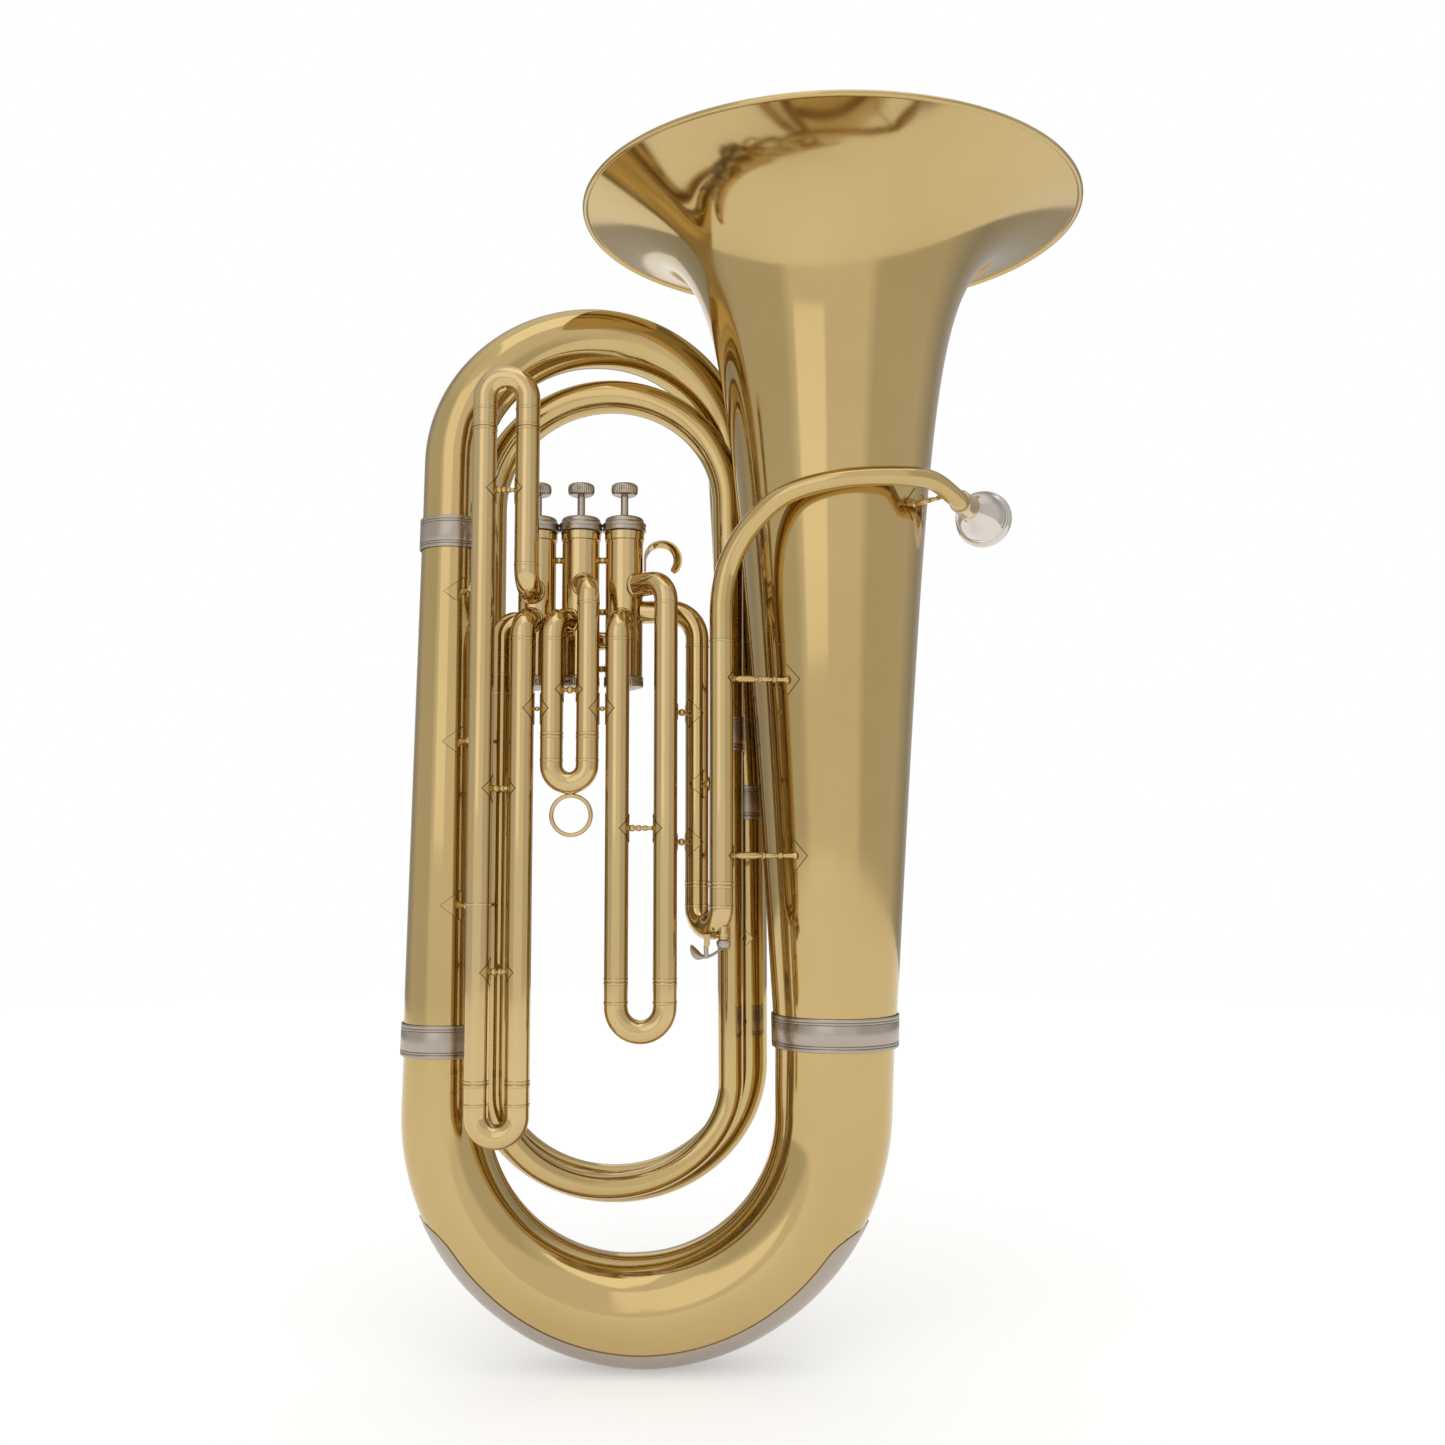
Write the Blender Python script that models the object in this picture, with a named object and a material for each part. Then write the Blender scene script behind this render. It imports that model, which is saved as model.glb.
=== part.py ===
"""Three-valve upright tuba with top-action pistons, built as separate pieces.

Metres, +Z up.  X runs across the instrument with the bell at +X, the valve
slides are on the -Y side, and the origin is the lowest point of the bottom bow.
"""
import math

import bmesh
import bpy
from mathutils import Matrix, Vector

for old_object in list(bpy.data.objects):
    bpy.data.objects.remove(old_object, do_unlink=True)

# ---------------------------------------------------------------- driving sizes
GAP = 0.0003                 # left between neighbouring pieces
WALL = 0.0008                # wall of the large tubes
SLIDE_WALL = 0.0006          # wall of the slide tubes
SLIDE_CLEARANCE = 0.0003     # radial, between a slide's inner and outer tubes
INNER_LEG_LENGTH = 0.130     # how far a slide's inner legs reach into the outer ones

BELL_X = 0.1490              # bell axis
BELL_FOOT_Z = 0.2452
BELL_SEAM_Z = 0.7000         # where the flare is brazed to the tail
RIM_Z = 0.8875
RIM_BEAD = 0.0022            # half height of the rolled rim

BOW_HALF_WIDTH = 0.1476      # centre line of the bottom bow
BOW_SPRING_Z = 0.1900
BOW_BOTTOM_Z = 0.0415
BOW_STEPS = 14
BRANCH_X = -0.1476           # large straight branch opposite the bell
BRANCH_FOOT_Z = 0.2398
BRANCH_TOP_Z = 0.6336

VALVE_X = (-0.0116, -0.0447, -0.0777)
VALVE_Y = -0.030
CASING_RADIUS = 0.0142
CASING_BORE = 0.0133
CASING_FOOT_Z = 0.5146
CASING_TOP_Z = 0.6250
PISTON_RADIUS = 0.0130
PISTON_FOOT_Z = 0.5300
PISTON_TOP_Z = 0.6120
STROKE = 0.0150
PORT_RADIUS = 0.0062

SLIDE_Y = -0.060             # plane of the valve slides
SLIDE_RADIUS = 0.0087
SLIDE_SIDES = 10
SECOND_SLIDE_RADIUS = 0.0083
THIRD_SLIDE_RADIUS = 0.0090
LOWER_PORT_Z = 0.5557        # elbows that leave a casing low
UPPER_PORT_Z = 0.5827        # elbows that leave a casing high
LINK_Z = 0.5420              # tubes from one casing to the next

X_AXIS = Vector((1, 0, 0))
Y_AXIS = Vector((0, 1, 0))
Z_AXIS = Vector((0, 0, 1))

# colour, roughness, metallic
FINISHES = {
    "lacquered_brass": ((0.72, 0.53, 0.25), 0.20, 1.0),
    "gold_brass": ((0.74, 0.52, 0.30), 0.20, 1.0),
    "nickel_silver": ((0.50, 0.46, 0.42), 0.28, 1.0),
    "silver_plate": ((0.86, 0.86, 0.88), 0.12, 1.0),
    "spring_steel": ((0.55, 0.55, 0.57), 0.35, 1.0),
    "cork": ((0.55, 0.38, 0.22), 0.85, 0.0),
}


# ------------------------------------------------------------------- tool box
def finish(name):
    """The named metal, made once."""
    if name in bpy.data.materials:
        return bpy.data.materials[name]
    colour, roughness, metallic = FINISHES[name]
    material = bpy.data.materials.new(name)
    material.use_nodes = True
    shader = material.node_tree.nodes["Principled BSDF"]
    shader.inputs["Base Color"].default_value = (*colour, 1.0)
    shader.inputs["Roughness"].default_value = roughness
    shader.inputs["Metallic"].default_value = metallic
    return material


def skin(name, rings, metal, origin, cyclic):
    """Join rings of points into one closed mesh, with its origin at `origin`."""
    origin = Vector(origin)
    bm = bmesh.new()
    rows = [[bm.verts.new(point - origin) for point in ring] for ring in rings]
    pairs = list(zip(rows, rows[1:]))
    if cyclic:
        pairs.append((rows[-1], rows[0]))
    else:
        bm.faces.new(rows[0])
        bm.faces.new(rows[-1])
    for low, high in pairs:
        for i in range(len(low)):
            j = (i + 1) % len(low)
            bm.faces.new((low[i], low[j], high[j], high[i]))
    bmesh.ops.recalc_face_normals(bm, faces=bm.faces)
    mesh = bpy.data.meshes.new(name)
    bm.to_mesh(mesh)
    bm.free()
    mesh.shade_smooth()
    mesh.set_sharp_from_angle(angle=math.radians(40))
    mesh.materials.append(finish(metal))
    piece = bpy.data.objects.new(name, mesh)
    piece.location = origin
    bpy.context.collection.objects.link(piece)
    return piece


def levelled(direction):
    """An end that runs within ten degrees of upright is cut level."""
    if abs(direction.z) > math.cos(math.radians(10)):
        return Z_AXIS * math.copysign(1, direction.z)
    return direction


def tangents(path):
    """Unit direction at each point; repeated points share a direction."""
    result = []
    for i, point in enumerate(path):
        before = next((p for p in reversed(path[:i]) if (p - point).length > 1e-6), point)
        after = next((p for p in path[i + 1:] if (p - point).length > 1e-6), point)
        back = (point - before).normalized() if before is not point else Vector()
        ahead = (after - point).normalized() if after is not point else Vector()
        result.append((back + ahead).normalized())
    result[0] = levelled(result[0])
    result[-1] = levelled(result[-1])
    return result


def normals(path, reference):
    """Carry a normal along the path, starting as near `reference` as it can be."""
    directions = tangents(path)
    normal = reference - reference.dot(directions[0]) * directions[0]
    result = []
    for i, direction in enumerate(directions):
        if i:
            normal = directions[i - 1].rotation_difference(direction) @ normal
        normal = (normal - normal.dot(direction) * direction).normalized()
        result.append(normal)
    return directions, result


def circle(centre, direction, normal, radius, sides):
    side = direction.cross(normal)
    angles = [2 * math.pi * i / sides for i in range(sides)]
    return [centre + radius * (math.cos(a) * normal + math.sin(a) * side) for a in angles]


def tube(name, path, outer, inner, sides, metal, origin=None, reference=Y_AXIS):
    """A hollow tube, open at both ends, with its own radii at each point."""
    directions, across = normals(path, reference)
    outside = [circle(p, d, n, r, sides) for p, d, n, r in zip(path, directions, across, outer)]
    inside = [circle(p, d, n, r, sides) for p, d, n, r in zip(path, directions, across, inner)]
    return skin(name, outside + inside[::-1], metal, origin or path[0], cyclic=True)


def taper(path, stations):
    """Radius at each point, from (share of the length, radius) stations."""
    lengths = [0.0]
    for a, b in zip(path, path[1:]):
        lengths.append(lengths[-1] + (b - a).length)
    result = []
    for length in lengths:
        share = length / lengths[-1]
        for (s0, r0), (s1, r1) in zip(stations, stations[1:]):
            if share <= s1 + 1e-9:
                result.append(r0 + (r1 - r0) * (share - s0) / (s1 - s0))
                break
    return result


def branch(name, path, stations, sides, wall=WALL, metal="lacquered_brass"):
    """A tapering tube of the main bugle."""
    outer = taper(path, stations)
    return tube(name, path, outer, [r - wall for r in outer], sides, metal)


def turned(name, base, axis, outline, sides, metal, origin=None, hollow=True):
    """A lathe-turned piece from (radius, height) points along `axis`."""
    base, axis = Vector(base), Vector(axis).normalized()
    reference = Y_AXIS if abs(axis.z) > 0.9 else Z_AXIS
    normal = (reference - reference.dot(axis) * axis).normalized()
    rings = [circle(base + h * axis, axis, normal, r, sides) for r, h in outline]
    return skin(name, rings, metal, base if origin is None else origin, cyclic=hollow)


def half_bow(start, end, rise, steps):
    """Half an ellipse from start to end, `rise` above or below them."""
    start, end = Vector(start), Vector(end)
    middle = (start + end) / 2
    points = []
    for i in range(steps + 1):
        angle = math.pi * i / steps
        swing = math.cos(angle)
        points.append(middle + (start - middle) * swing + Z_AXIS * rise * math.sin(angle))
    return points


def rounded(corners, radius, steps):
    """The route through the corners, with an arc of `radius` at each inner one."""
    corners = [Vector(c) for c in corners]
    points = [corners[0]]
    for before, corner, after in zip(corners, corners[1:], corners[2:]):
        arrive = (corner - before).normalized()
        leave = (after - corner).normalized()
        turn = arrive.angle(leave)
        setback = radius * math.tan(turn / 2)
        inward = (leave - arrive * arrive.dot(leave)).normalized()
        centre = corner - arrive * setback + inward * radius
        for i in range(steps + 1):
            angle = turn * i / steps
            points.append(centre - inward * radius * math.cos(angle)
                          + arrive * radius * math.sin(angle))
    points.append(corners[-1])
    return points


def smooth(points, steps):
    """A Catmull-Rom curve through the points."""
    points = [Vector(p) for p in points]
    padded = [2 * points[0] - points[1]] + points + [2 * points[-1] - points[-2]]
    result = []
    for a, b, c, d in zip(padded, padded[1:], padded[2:], padded[3:]):
        for i in range(steps):
            t = i / steps
            result.append(0.5 * (2 * b + (c - a) * t + (2 * a - 5 * b + 4 * c - d) * t ** 2
                                 + (3 * b - a - 3 * c + d) * t ** 3))
    result.append(points[-1])
    return result


def bore_through(piece, start, direction, length):
    """Drill a round port into a piece, from `start` along `direction`."""
    direction = Vector(direction).normalized()
    mesh = bpy.data.meshes.new("port")
    bm = bmesh.new()
    turn = Z_AXIS.rotation_difference(direction).to_matrix().to_4x4()
    middle = Matrix.Translation(Vector(start) + direction * length / 2)
    bmesh.ops.create_cone(bm, cap_ends=True, segments=6, radius1=PORT_RADIUS,
                          radius2=PORT_RADIUS, depth=length, matrix=middle @ turn)
    bm.to_mesh(mesh)
    bm.free()
    cutter = bpy.data.objects.new("port_cutter", mesh)
    cutter.hide_render = True
    cutter.display_type = "WIRE"
    bpy.context.collection.objects.link(cutter)
    cut = piece.modifiers.new("port", "BOOLEAN")
    cut.operation = "DIFFERENCE"
    cut.solver = "EXACT"
    cut.object = cutter
    bpy.context.view_layer.update()
    evaluated = piece.evaluated_get(bpy.context.evaluated_depsgraph_get())
    cut_mesh = bpy.data.meshes.new_from_object(evaluated)
    piece.modifiers.clear()
    piece.data = cut_mesh
    bpy.data.objects.remove(cutter, do_unlink=True)


# --------------------------------------------------------------------- bell
def bell_radius(z):
    """Outer radius of the bell: a slow cone that opens like a hyperbola."""
    return 0.0430 + 0.0553 * (z - 0.2251) + 0.001335 * (0.9254 - z) ** -1.362


def bell_walls(heights):
    """Outer and inner (radius, height) points of the bell's sheet."""
    outer, inner = [], []
    for z in heights:
        r = bell_radius(z)
        slope = (bell_radius(z + 1e-5) - bell_radius(z - 1e-5)) / 2e-5
        lean = math.atan(slope)
        outer.append((r, z))
        inner.append((r - WALL * math.cos(lean), z + WALL * math.sin(lean)))
    inner[0] = (inner[0][0], heights[0])
    inner[-1] = (inner[-1][0], heights[-1])
    return outer, inner


def make_bell():
    """The long cone, and the spun flare that is brazed to the top of it."""
    outer, inner = bell_walls([BELL_FOOT_Z, 0.42, 0.58, BELL_SEAM_Z])
    turned("bell_tail", (BELL_X, 0, 0), Z_AXIS, outer + inner[::-1], 28, "lacquered_brass")

    heights = [BELL_SEAM_Z + GAP, 0.77, 0.812, 0.842, 0.862, 0.877, RIM_Z]
    outer, inner = bell_walls(heights)
    edge = bell_radius(RIM_Z)
    outer[-1] = (edge - 0.0010, RIM_Z - RIM_BEAD + 0.0012)
    inner[-1] = (edge - 0.0024, RIM_Z + 0.0012)
    bead = [(edge + 0.0006, RIM_Z - RIM_BEAD), (edge + 0.0020, RIM_Z - 0.0006),
            (edge + 0.0020, RIM_Z + 0.0010), (edge + 0.0010, RIM_Z + RIM_BEAD),
            (edge - 0.0014, RIM_Z + RIM_BEAD)]
    turned("bell_flare", (BELL_X, 0, 0), Z_AXIS, outer + bead + inner[::-1], 28,
           "lacquered_brass")


def ferrule(name, foot, top, foot_radius, top_radius, sides):
    """A nickel sleeve over the joint between two branches."""
    path = [Vector(foot), Vector(top)]
    outer = [foot_radius + GAP + WALL, top_radius + GAP + WALL]
    inner = [foot_radius + GAP, top_radius + GAP]
    tube(name, path, outer, inner, sides, "nickel_silver")


# ----------------------------------------------------------------- main bugle
def bottom_bow_line():
    """Centre line of the bottom bow, and its radius at each point."""
    left = (BRANCH_X, 0, BOW_SPRING_Z)
    right = (BOW_HALF_WIDTH, 0, BOW_SPRING_Z)
    path = [Vector((BRANCH_X, 0, BRANCH_FOOT_Z - GAP))]
    path += half_bow(left, right, BOW_BOTTOM_Z - BOW_SPRING_Z, BOW_STEPS)
    path.append(Vector((BELL_X, 0, BELL_FOOT_Z - GAP)))
    stations = [(0, 0.0310), (0.09, 0.0322), (0.3, 0.0352), (0.5, 0.0404), (0.72, 0.0428),
                (0.9, 0.0446), (1, 0.0455)]
    return path, taper(path, stations)


def make_bottom_bow():
    path, outer = bottom_bow_line()
    tube("bottom_bow", path, outer, [r - WALL for r in outer], 20, "lacquered_brass")


def make_bow_guard():
    """The nickel strip that takes the wear along the outside of the bottom bow."""
    lift, thick = 0.0003, 0.0009
    path, outer = bottom_bow_line()
    directions, across = normals(path, Y_AXIS)
    rings = []
    for i in range(3, len(path) - 3):
        out = across[i].cross(directions[i])
        near = outer[i] + lift
        strip = []
        for radius, angles in ((near, (-54, -36, -18, 0, 18, 36, 54)),
                               (near + thick, (54, 36, 18, 0, -18, -36, -54))):
            for degrees in angles:
                turn = math.radians(degrees)
                strip.append(path[i] + radius * (math.cos(turn) * out
                                                 + math.sin(turn) * across[i]))
        rings.append(strip)
    skin("bottom_bow_guard", rings, "nickel_silver", (0, 0, 0), cyclic=False)


def make_large_branches():
    foot = Vector((BRANCH_X - 0.0006, 0, BRANCH_FOOT_Z))
    top = Vector((BRANCH_X + 0.0008, 0, BRANCH_TOP_Z))
    branch("large_branch", [foot, top], [(0, 0.0312), (1, 0.0248)], 20)

    right_foot = (0.0826, 0.0545, 0.4215)
    right_top = (0.0702, 0.0680, 0.7000)
    left_top = (-0.1462, 0, 0.6850)
    path = [Vector(right_foot)] + half_bow(right_top, left_top, 0.1070, 12)
    path.append(Vector((BRANCH_X + 0.0008, 0, BRANCH_TOP_Z + GAP)))
    stations = [(0, 0.0163), (0.37, 0.0185), (0.50, 0.0205), (0.66, 0.0238), (1, 0.0246)]
    branch("large_top_bow", path, stations, 16)


def make_rear_loop():
    """The loop nearest the back: from the inner top bow round to the large top bow."""
    left = (-0.1253, 0.0420, 0.2180)
    right = (0.0836, 0.0440, 0.2180)
    path = [Vector((-0.1253, 0.0420, 0.2300))] + half_bow(left, right, -0.0940, 10)
    path.append(Vector((0.0826, 0.0543, 0.4212)))
    branch("rear_inner_bow", path, [(0, 0.0138), (0.3, 0.0143), (0.6, 0.0150), (1, 0.0161)], 14)
    ferrule("rear_branch_ferrule", (0.08266, 0.0536, 0.4075), (0.08230, 0.0552, 0.4345),
            0.0166, 0.0170, 14)

    right = (0.0675, 0.0340, 0.6620)
    left = (-0.1253, 0.0400, 0.6600)
    path = [Vector((0.0691, 0.0285, 0.4755))] + half_bow(right, left, 0.0912, 11)
    path.append(Vector((-0.1253, 0.0420, 0.2303)))
    stations = [(0, 0.0110), (0.19, 0.0123), (0.36, 0.0133), (0.55, 0.0134), (1, 0.0137)]
    branch("inner_top_bow", path, stations, 12)


def make_front_loop():
    """From the third valve down, round the front inner bow and up to its ferrule."""
    left = (-0.1034, -0.0280, 0.2066)
    right = (0.0698, 0.0180, 0.2066)
    path = [Vector((-0.1034, VALVE_Y, 0.5160))] + half_bow(left, right, -0.0742, 10)
    path.append(Vector((0.0691, 0.0283, 0.4750)))
    branch("front_inner_bow", path, [(0, 0.0087), (0.35, 0.0088), (0.65, 0.0096), (1, 0.0107)],
           12, SLIDE_WALL)
    ferrule("front_branch_ferrule", (0.06913, 0.0277, 0.4615), (0.06898, 0.0290, 0.4890),
            0.0111, 0.0114, 12)

    casing_side = VALVE_X[2] - CASING_RADIUS - GAP
    path = rounded([(casing_side, VALVE_Y, LOWER_PORT_Z), (-0.1034, VALVE_Y, LOWER_PORT_Z),
                    (-0.1034, VALVE_Y, 0.5163)], 0.0110, 5)
    count = len(path)
    tube("valve_exit_elbow", path, [0.0087] * count, [0.0081] * count, SLIDE_SIDES,
         "gold_brass")


# --------------------------------------------------------------------- valves
def port_direction(valve, leg_x):
    """From a casing's axis towards a slide leg."""
    return Vector((leg_x - VALVE_X[valve], SLIDE_Y - VALVE_Y, 0)).normalized()


# for each valve: the slide legs (x, port height)
LEGS = (
    ((-0.0139, LOWER_PORT_Z), (0.0215, UPPER_PORT_Z)),
    ((-0.0622, LOWER_PORT_Z), (-0.0359, UPPER_PORT_Z)),
    ((-0.0844, LOWER_PORT_Z), (-0.0821, 0.5780)),
)
INLET_Z = 0.5640
# for each valve: the straight passage on its +X side and on its -X side
THROUGH = ((INLET_Z, LINK_Z), (LINK_Z, LINK_Z), (LINK_Z, LOWER_PORT_Z))


def make_valve(valve):
    number = valve + 1
    axis_foot = Vector((VALVE_X[valve], VALVE_Y, 0))
    sides = 12

    casing = turned(f"valve_casing_{number}", axis_foot, Z_AXIS,
                    [(CASING_RADIUS, CASING_FOOT_Z), (CASING_RADIUS, CASING_TOP_Z),
                     (CASING_BORE, CASING_TOP_Z), (CASING_BORE, CASING_FOOT_Z)],
                    sides, "gold_brass")
    piston = turned(f"piston_{number}", axis_foot, Z_AXIS,
                    [(0.0050, PISTON_FOOT_Z), (PISTON_RADIUS, PISTON_FOOT_Z),
                     (PISTON_RADIUS, PISTON_TOP_Z), (0.0022, PISTON_TOP_Z),
                     (0.0022, PISTON_TOP_Z - 0.0020), (0.0120, PISTON_TOP_Z - 0.0020),
                     (0.0120, PISTON_FOOT_Z + 0.0016), (0.0050, PISTON_FOOT_Z + 0.0016)],
                    sides, "nickel_silver")
    plus_z, minus_z = THROUGH[valve]
    ports = [(X_AXIS, plus_z, 0), (-X_AXIS, minus_z, 0)]
    ports += [(port_direction(valve, x), z, STROKE) for x, z in LEGS[valve]]
    for direction, z, raised in ports:
        start = axis_foot + Z_AXIS * z + direction * 0.0060
        bore_through(casing, start, direction, 0.0120)
        bore_through(piston, start + Z_AXIS * raised, direction, 0.0120)

    turned(f"valve_top_cap_{number}", axis_foot, Z_AXIS,
           [(0.0130, 0.6253), (0.0158, 0.6253), (0.0164, 0.6262), (0.0164, 0.6308),
            (0.0152, 0.6322), (0.0146, 0.6350), (0.0120, 0.6366), (0.0036, 0.6368),
            (0.0036, 0.6350), (0.0122, 0.6340), (0.0130, 0.6320)], sides, "nickel_silver")
    turned(f"valve_bottom_cap_{number}", axis_foot, Z_AXIS,
           [(0.0020, 0.5052), (0.0128, 0.5052), (0.0149, 0.5070), (0.0149, 0.5143),
            (0.0134, 0.5143), (0.0134, 0.5080), (0.0020, 0.5080)], sides, "nickel_silver")
    turned(f"finger_button_{number}", axis_foot, Z_AXIS,
           [(0.0030, PISTON_TOP_Z + GAP), (0.0030, 0.6533), (0.0078, 0.6536),
            (0.0099, 0.6556), (0.0100, 0.6602), (0.0090, 0.6626), (0.0074, 0.6632),
            (0.0060, 0.6624)], 12, "nickel_silver", hollow=False)
    make_spring(number, axis_foot)


def make_spring(number, axis_foot):
    """The return spring, between the bottom cap and the piston."""
    turns, per_turn, coil_radius = 4.5, 7, 0.0080
    wire = 0.0005
    low, high = 0.5080 + GAP + wire, PISTON_FOOT_Z - GAP - wire
    count = int(turns * per_turn)
    path = []
    for i in range(count + 1):
        angle = 2 * math.pi * i / per_turn
        z = low + (high - low) * i / count
        path.append(axis_foot + Vector((coil_radius * math.cos(angle),
                                        coil_radius * math.sin(angle), z)))
    directions, across = normals(path, Z_AXIS)
    rings = [circle(p, d, n, wire, 3) for p, d, n in zip(path, directions, across)]
    skin(f"piston_spring_{number}", rings, "spring_steel", axis_foot, cyclic=False)


def make_valve_links():
    for number, (first, second) in enumerate(((0, 1), (1, 2)), start=1):
        near = VALVE_X[first] - CASING_RADIUS - GAP
        far = VALVE_X[second] + CASING_RADIUS + GAP
        path = [Vector((near, VALVE_Y, LINK_Z)), Vector((far, VALVE_Y, LINK_Z))]
        tube(f"valve_link_{number}{number + 1}", path, [0.0070] * 2, [0.0062] * 2, 10,
             "gold_brass")


def make_finger_hook():
    """The curved strip beside the first valve that the thumb or finger rests in."""
    centre = Vector((0.0167, VALVE_Y, 0.6040))
    radius, width, thick = 0.0118, 0.0100, 0.0014
    rings = []
    for i in range(11):
        angle = math.radians(178 - 226 * i / 10)
        out = Vector((math.cos(angle), 0, math.sin(angle)))
        half = width / 2 * (1.0 if i < 9 else 0.75)
        rings.append([centre + out * (radius + dr) + Y_AXIS * dy
                      for dr, dy in ((0, -half), (thick, -half), (thick, half), (0, half))])
    root = [corner - Z_AXIS * 0.0100 for corner in rings[0]]
    skin("finger_hook", [root] + rings, "gold_brass", centre, cyclic=False)


# --------------------------------------------------------------------- slides
def leg_from_valve(name, valve, leg_x, port_z, far_z, radius, bend):
    """An outer slide tube, with the elbow that joins it to its valve casing."""
    direction = port_direction(valve, leg_x)
    axis = Vector((VALVE_X[valve], VALVE_Y, port_z))
    path = rounded([(leg_x, SLIDE_Y, far_z), (leg_x, SLIDE_Y, port_z),
                    axis + direction * (CASING_RADIUS + 2 * GAP)], bend, 4)
    count = len(path)
    tube(name, path, [radius] * count, [radius - SLIDE_WALL] * count, SLIDE_SIDES, "gold_brass")


def slide(name, left, right, joint_z, spring_z, radius, legs=(INNER_LEG_LENGTH,) * 2):
    """A tuning slide: inner legs, stop ferrules and a half-round bow, one piece.

    It opens downwards when spring_z is below joint_z, and upwards otherwise.
    """
    away = 1.0 if joint_z > spring_z else -1.0
    left, right = Vector(left), Vector(right)
    stop_z = joint_z - away * GAP

    def at(point, z):
        return Vector((point.x, point.y, z))

    leg = radius - SLIDE_WALL - SLIDE_CLEARANCE
    bore = leg - SLIDE_WALL
    bow = half_bow(at(left, spring_z), at(right, spring_z), -away * (right - left).length / 2, 6)
    path = [at(left, stop_z + away * legs[0]), at(left, stop_z), at(left, stop_z)]
    path += bow
    path += [at(right, stop_z), at(right, stop_z), at(right, stop_z + away * legs[1])]
    outer = [leg, leg] + [radius] * (len(path) - 4) + [leg, leg]
    inner = [bore] * len(path)
    middle = (at(left, joint_z) + at(right, joint_z)) / 2
    tube(name, path, outer, inner, SLIDE_SIDES, "gold_brass", origin=middle)


def make_valve_slides():
    (first_left, first_right) = LEGS[0]
    first_joint, second_joint = 0.2897, 0.4682
    leg_from_valve("valve1_leg_left", 0, *first_left, first_joint, SLIDE_RADIUS, 0.0148)
    leg_from_valve("valve1_leg_right", 0, *first_right, first_joint, SLIDE_RADIUS, 0.0148)
    slide("valve1_slide", (first_left[0], SLIDE_Y, 0), (first_right[0], SLIDE_Y, 0),
          first_joint, 0.2708, SLIDE_RADIUS)

    (second_left, second_right) = LEGS[1]
    leg_from_valve("valve2_leg_left", 1, *second_left, second_joint, SECOND_SLIDE_RADIUS, 0.0150)
    leg_from_valve("valve2_leg_right", 1, *second_right, second_joint, SECOND_SLIDE_RADIUS, 0.0150)
    slide("valve2_slide", (second_left[0], SLIDE_Y, 0), (second_right[0], SLIDE_Y, 0),
          second_joint, 0.4462, SECOND_SLIDE_RADIUS, legs=(0.065, 0.065))
    make_pull_ring((second_left[0] + second_right[0]) / 2)

    (third_lower, third_upper) = LEGS[2]
    low_joint, high_joint = 0.2172, 0.6980
    long_x = -0.1141
    leg_from_valve("valve3_leg_lower", 2, *third_lower, low_joint, THIRD_SLIDE_RADIUS, 0.0148)
    leg_from_valve("valve3_leg_upper", 2, *third_upper, high_joint, THIRD_SLIDE_RADIUS, 0.0148)
    path = [Vector((long_x, SLIDE_Y, low_joint)), Vector((long_x, SLIDE_Y, high_joint))]
    tube("valve3_long_leg", path, [THIRD_SLIDE_RADIUS] * 2,
         [THIRD_SLIDE_RADIUS - SLIDE_WALL] * 2, SLIDE_SIDES, "gold_brass")
    slide("valve3_lower_slide", (long_x, SLIDE_Y, 0), (third_lower[0], SLIDE_Y, 0),
          low_joint, 0.1938, THIRD_SLIDE_RADIUS)
    slide("valve3_upper_slide", (long_x, SLIDE_Y, 0), (third_upper[0], SLIDE_Y, 0),
          high_joint, 0.7205, THIRD_SLIDE_RADIUS, legs=(0.090, 0.090))


def make_pull_ring(x):
    """The ring a finger hooks to draw the second slide."""
    centre = Vector((x + 0.0016, SLIDE_Y, 0.4094))
    major, minor, steps = 0.0144, 0.0016, 16
    rings = []
    for i in range(steps):
        angle = 2 * math.pi * i / steps
        out = Vector((math.cos(angle), 0, math.sin(angle)))
        along = Vector((-math.sin(angle), 0, math.cos(angle)))
        rings.append(circle(centre + major * out, along, Y_AXIS, minor, 6))
    skin("valve2_pull_ring", rings, "gold_brass", centre, cyclic=True)


# ------------------------------------------------- leadpipe and its tuning slide
PIPE_LEG = Vector((0.0624, -0.060, 0))
INLET_LEG = Vector((0.0441, -0.035, 0))
MAIN_JOINT_Z = 0.3592
PIPE_FOOT_Z = 0.5385
RECEIVER_END = Vector((0.2515, -0.0290, 0.6450))
RECEIVER_AXIS = Vector((0.39, 0.92, 0.03)).normalized()


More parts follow.
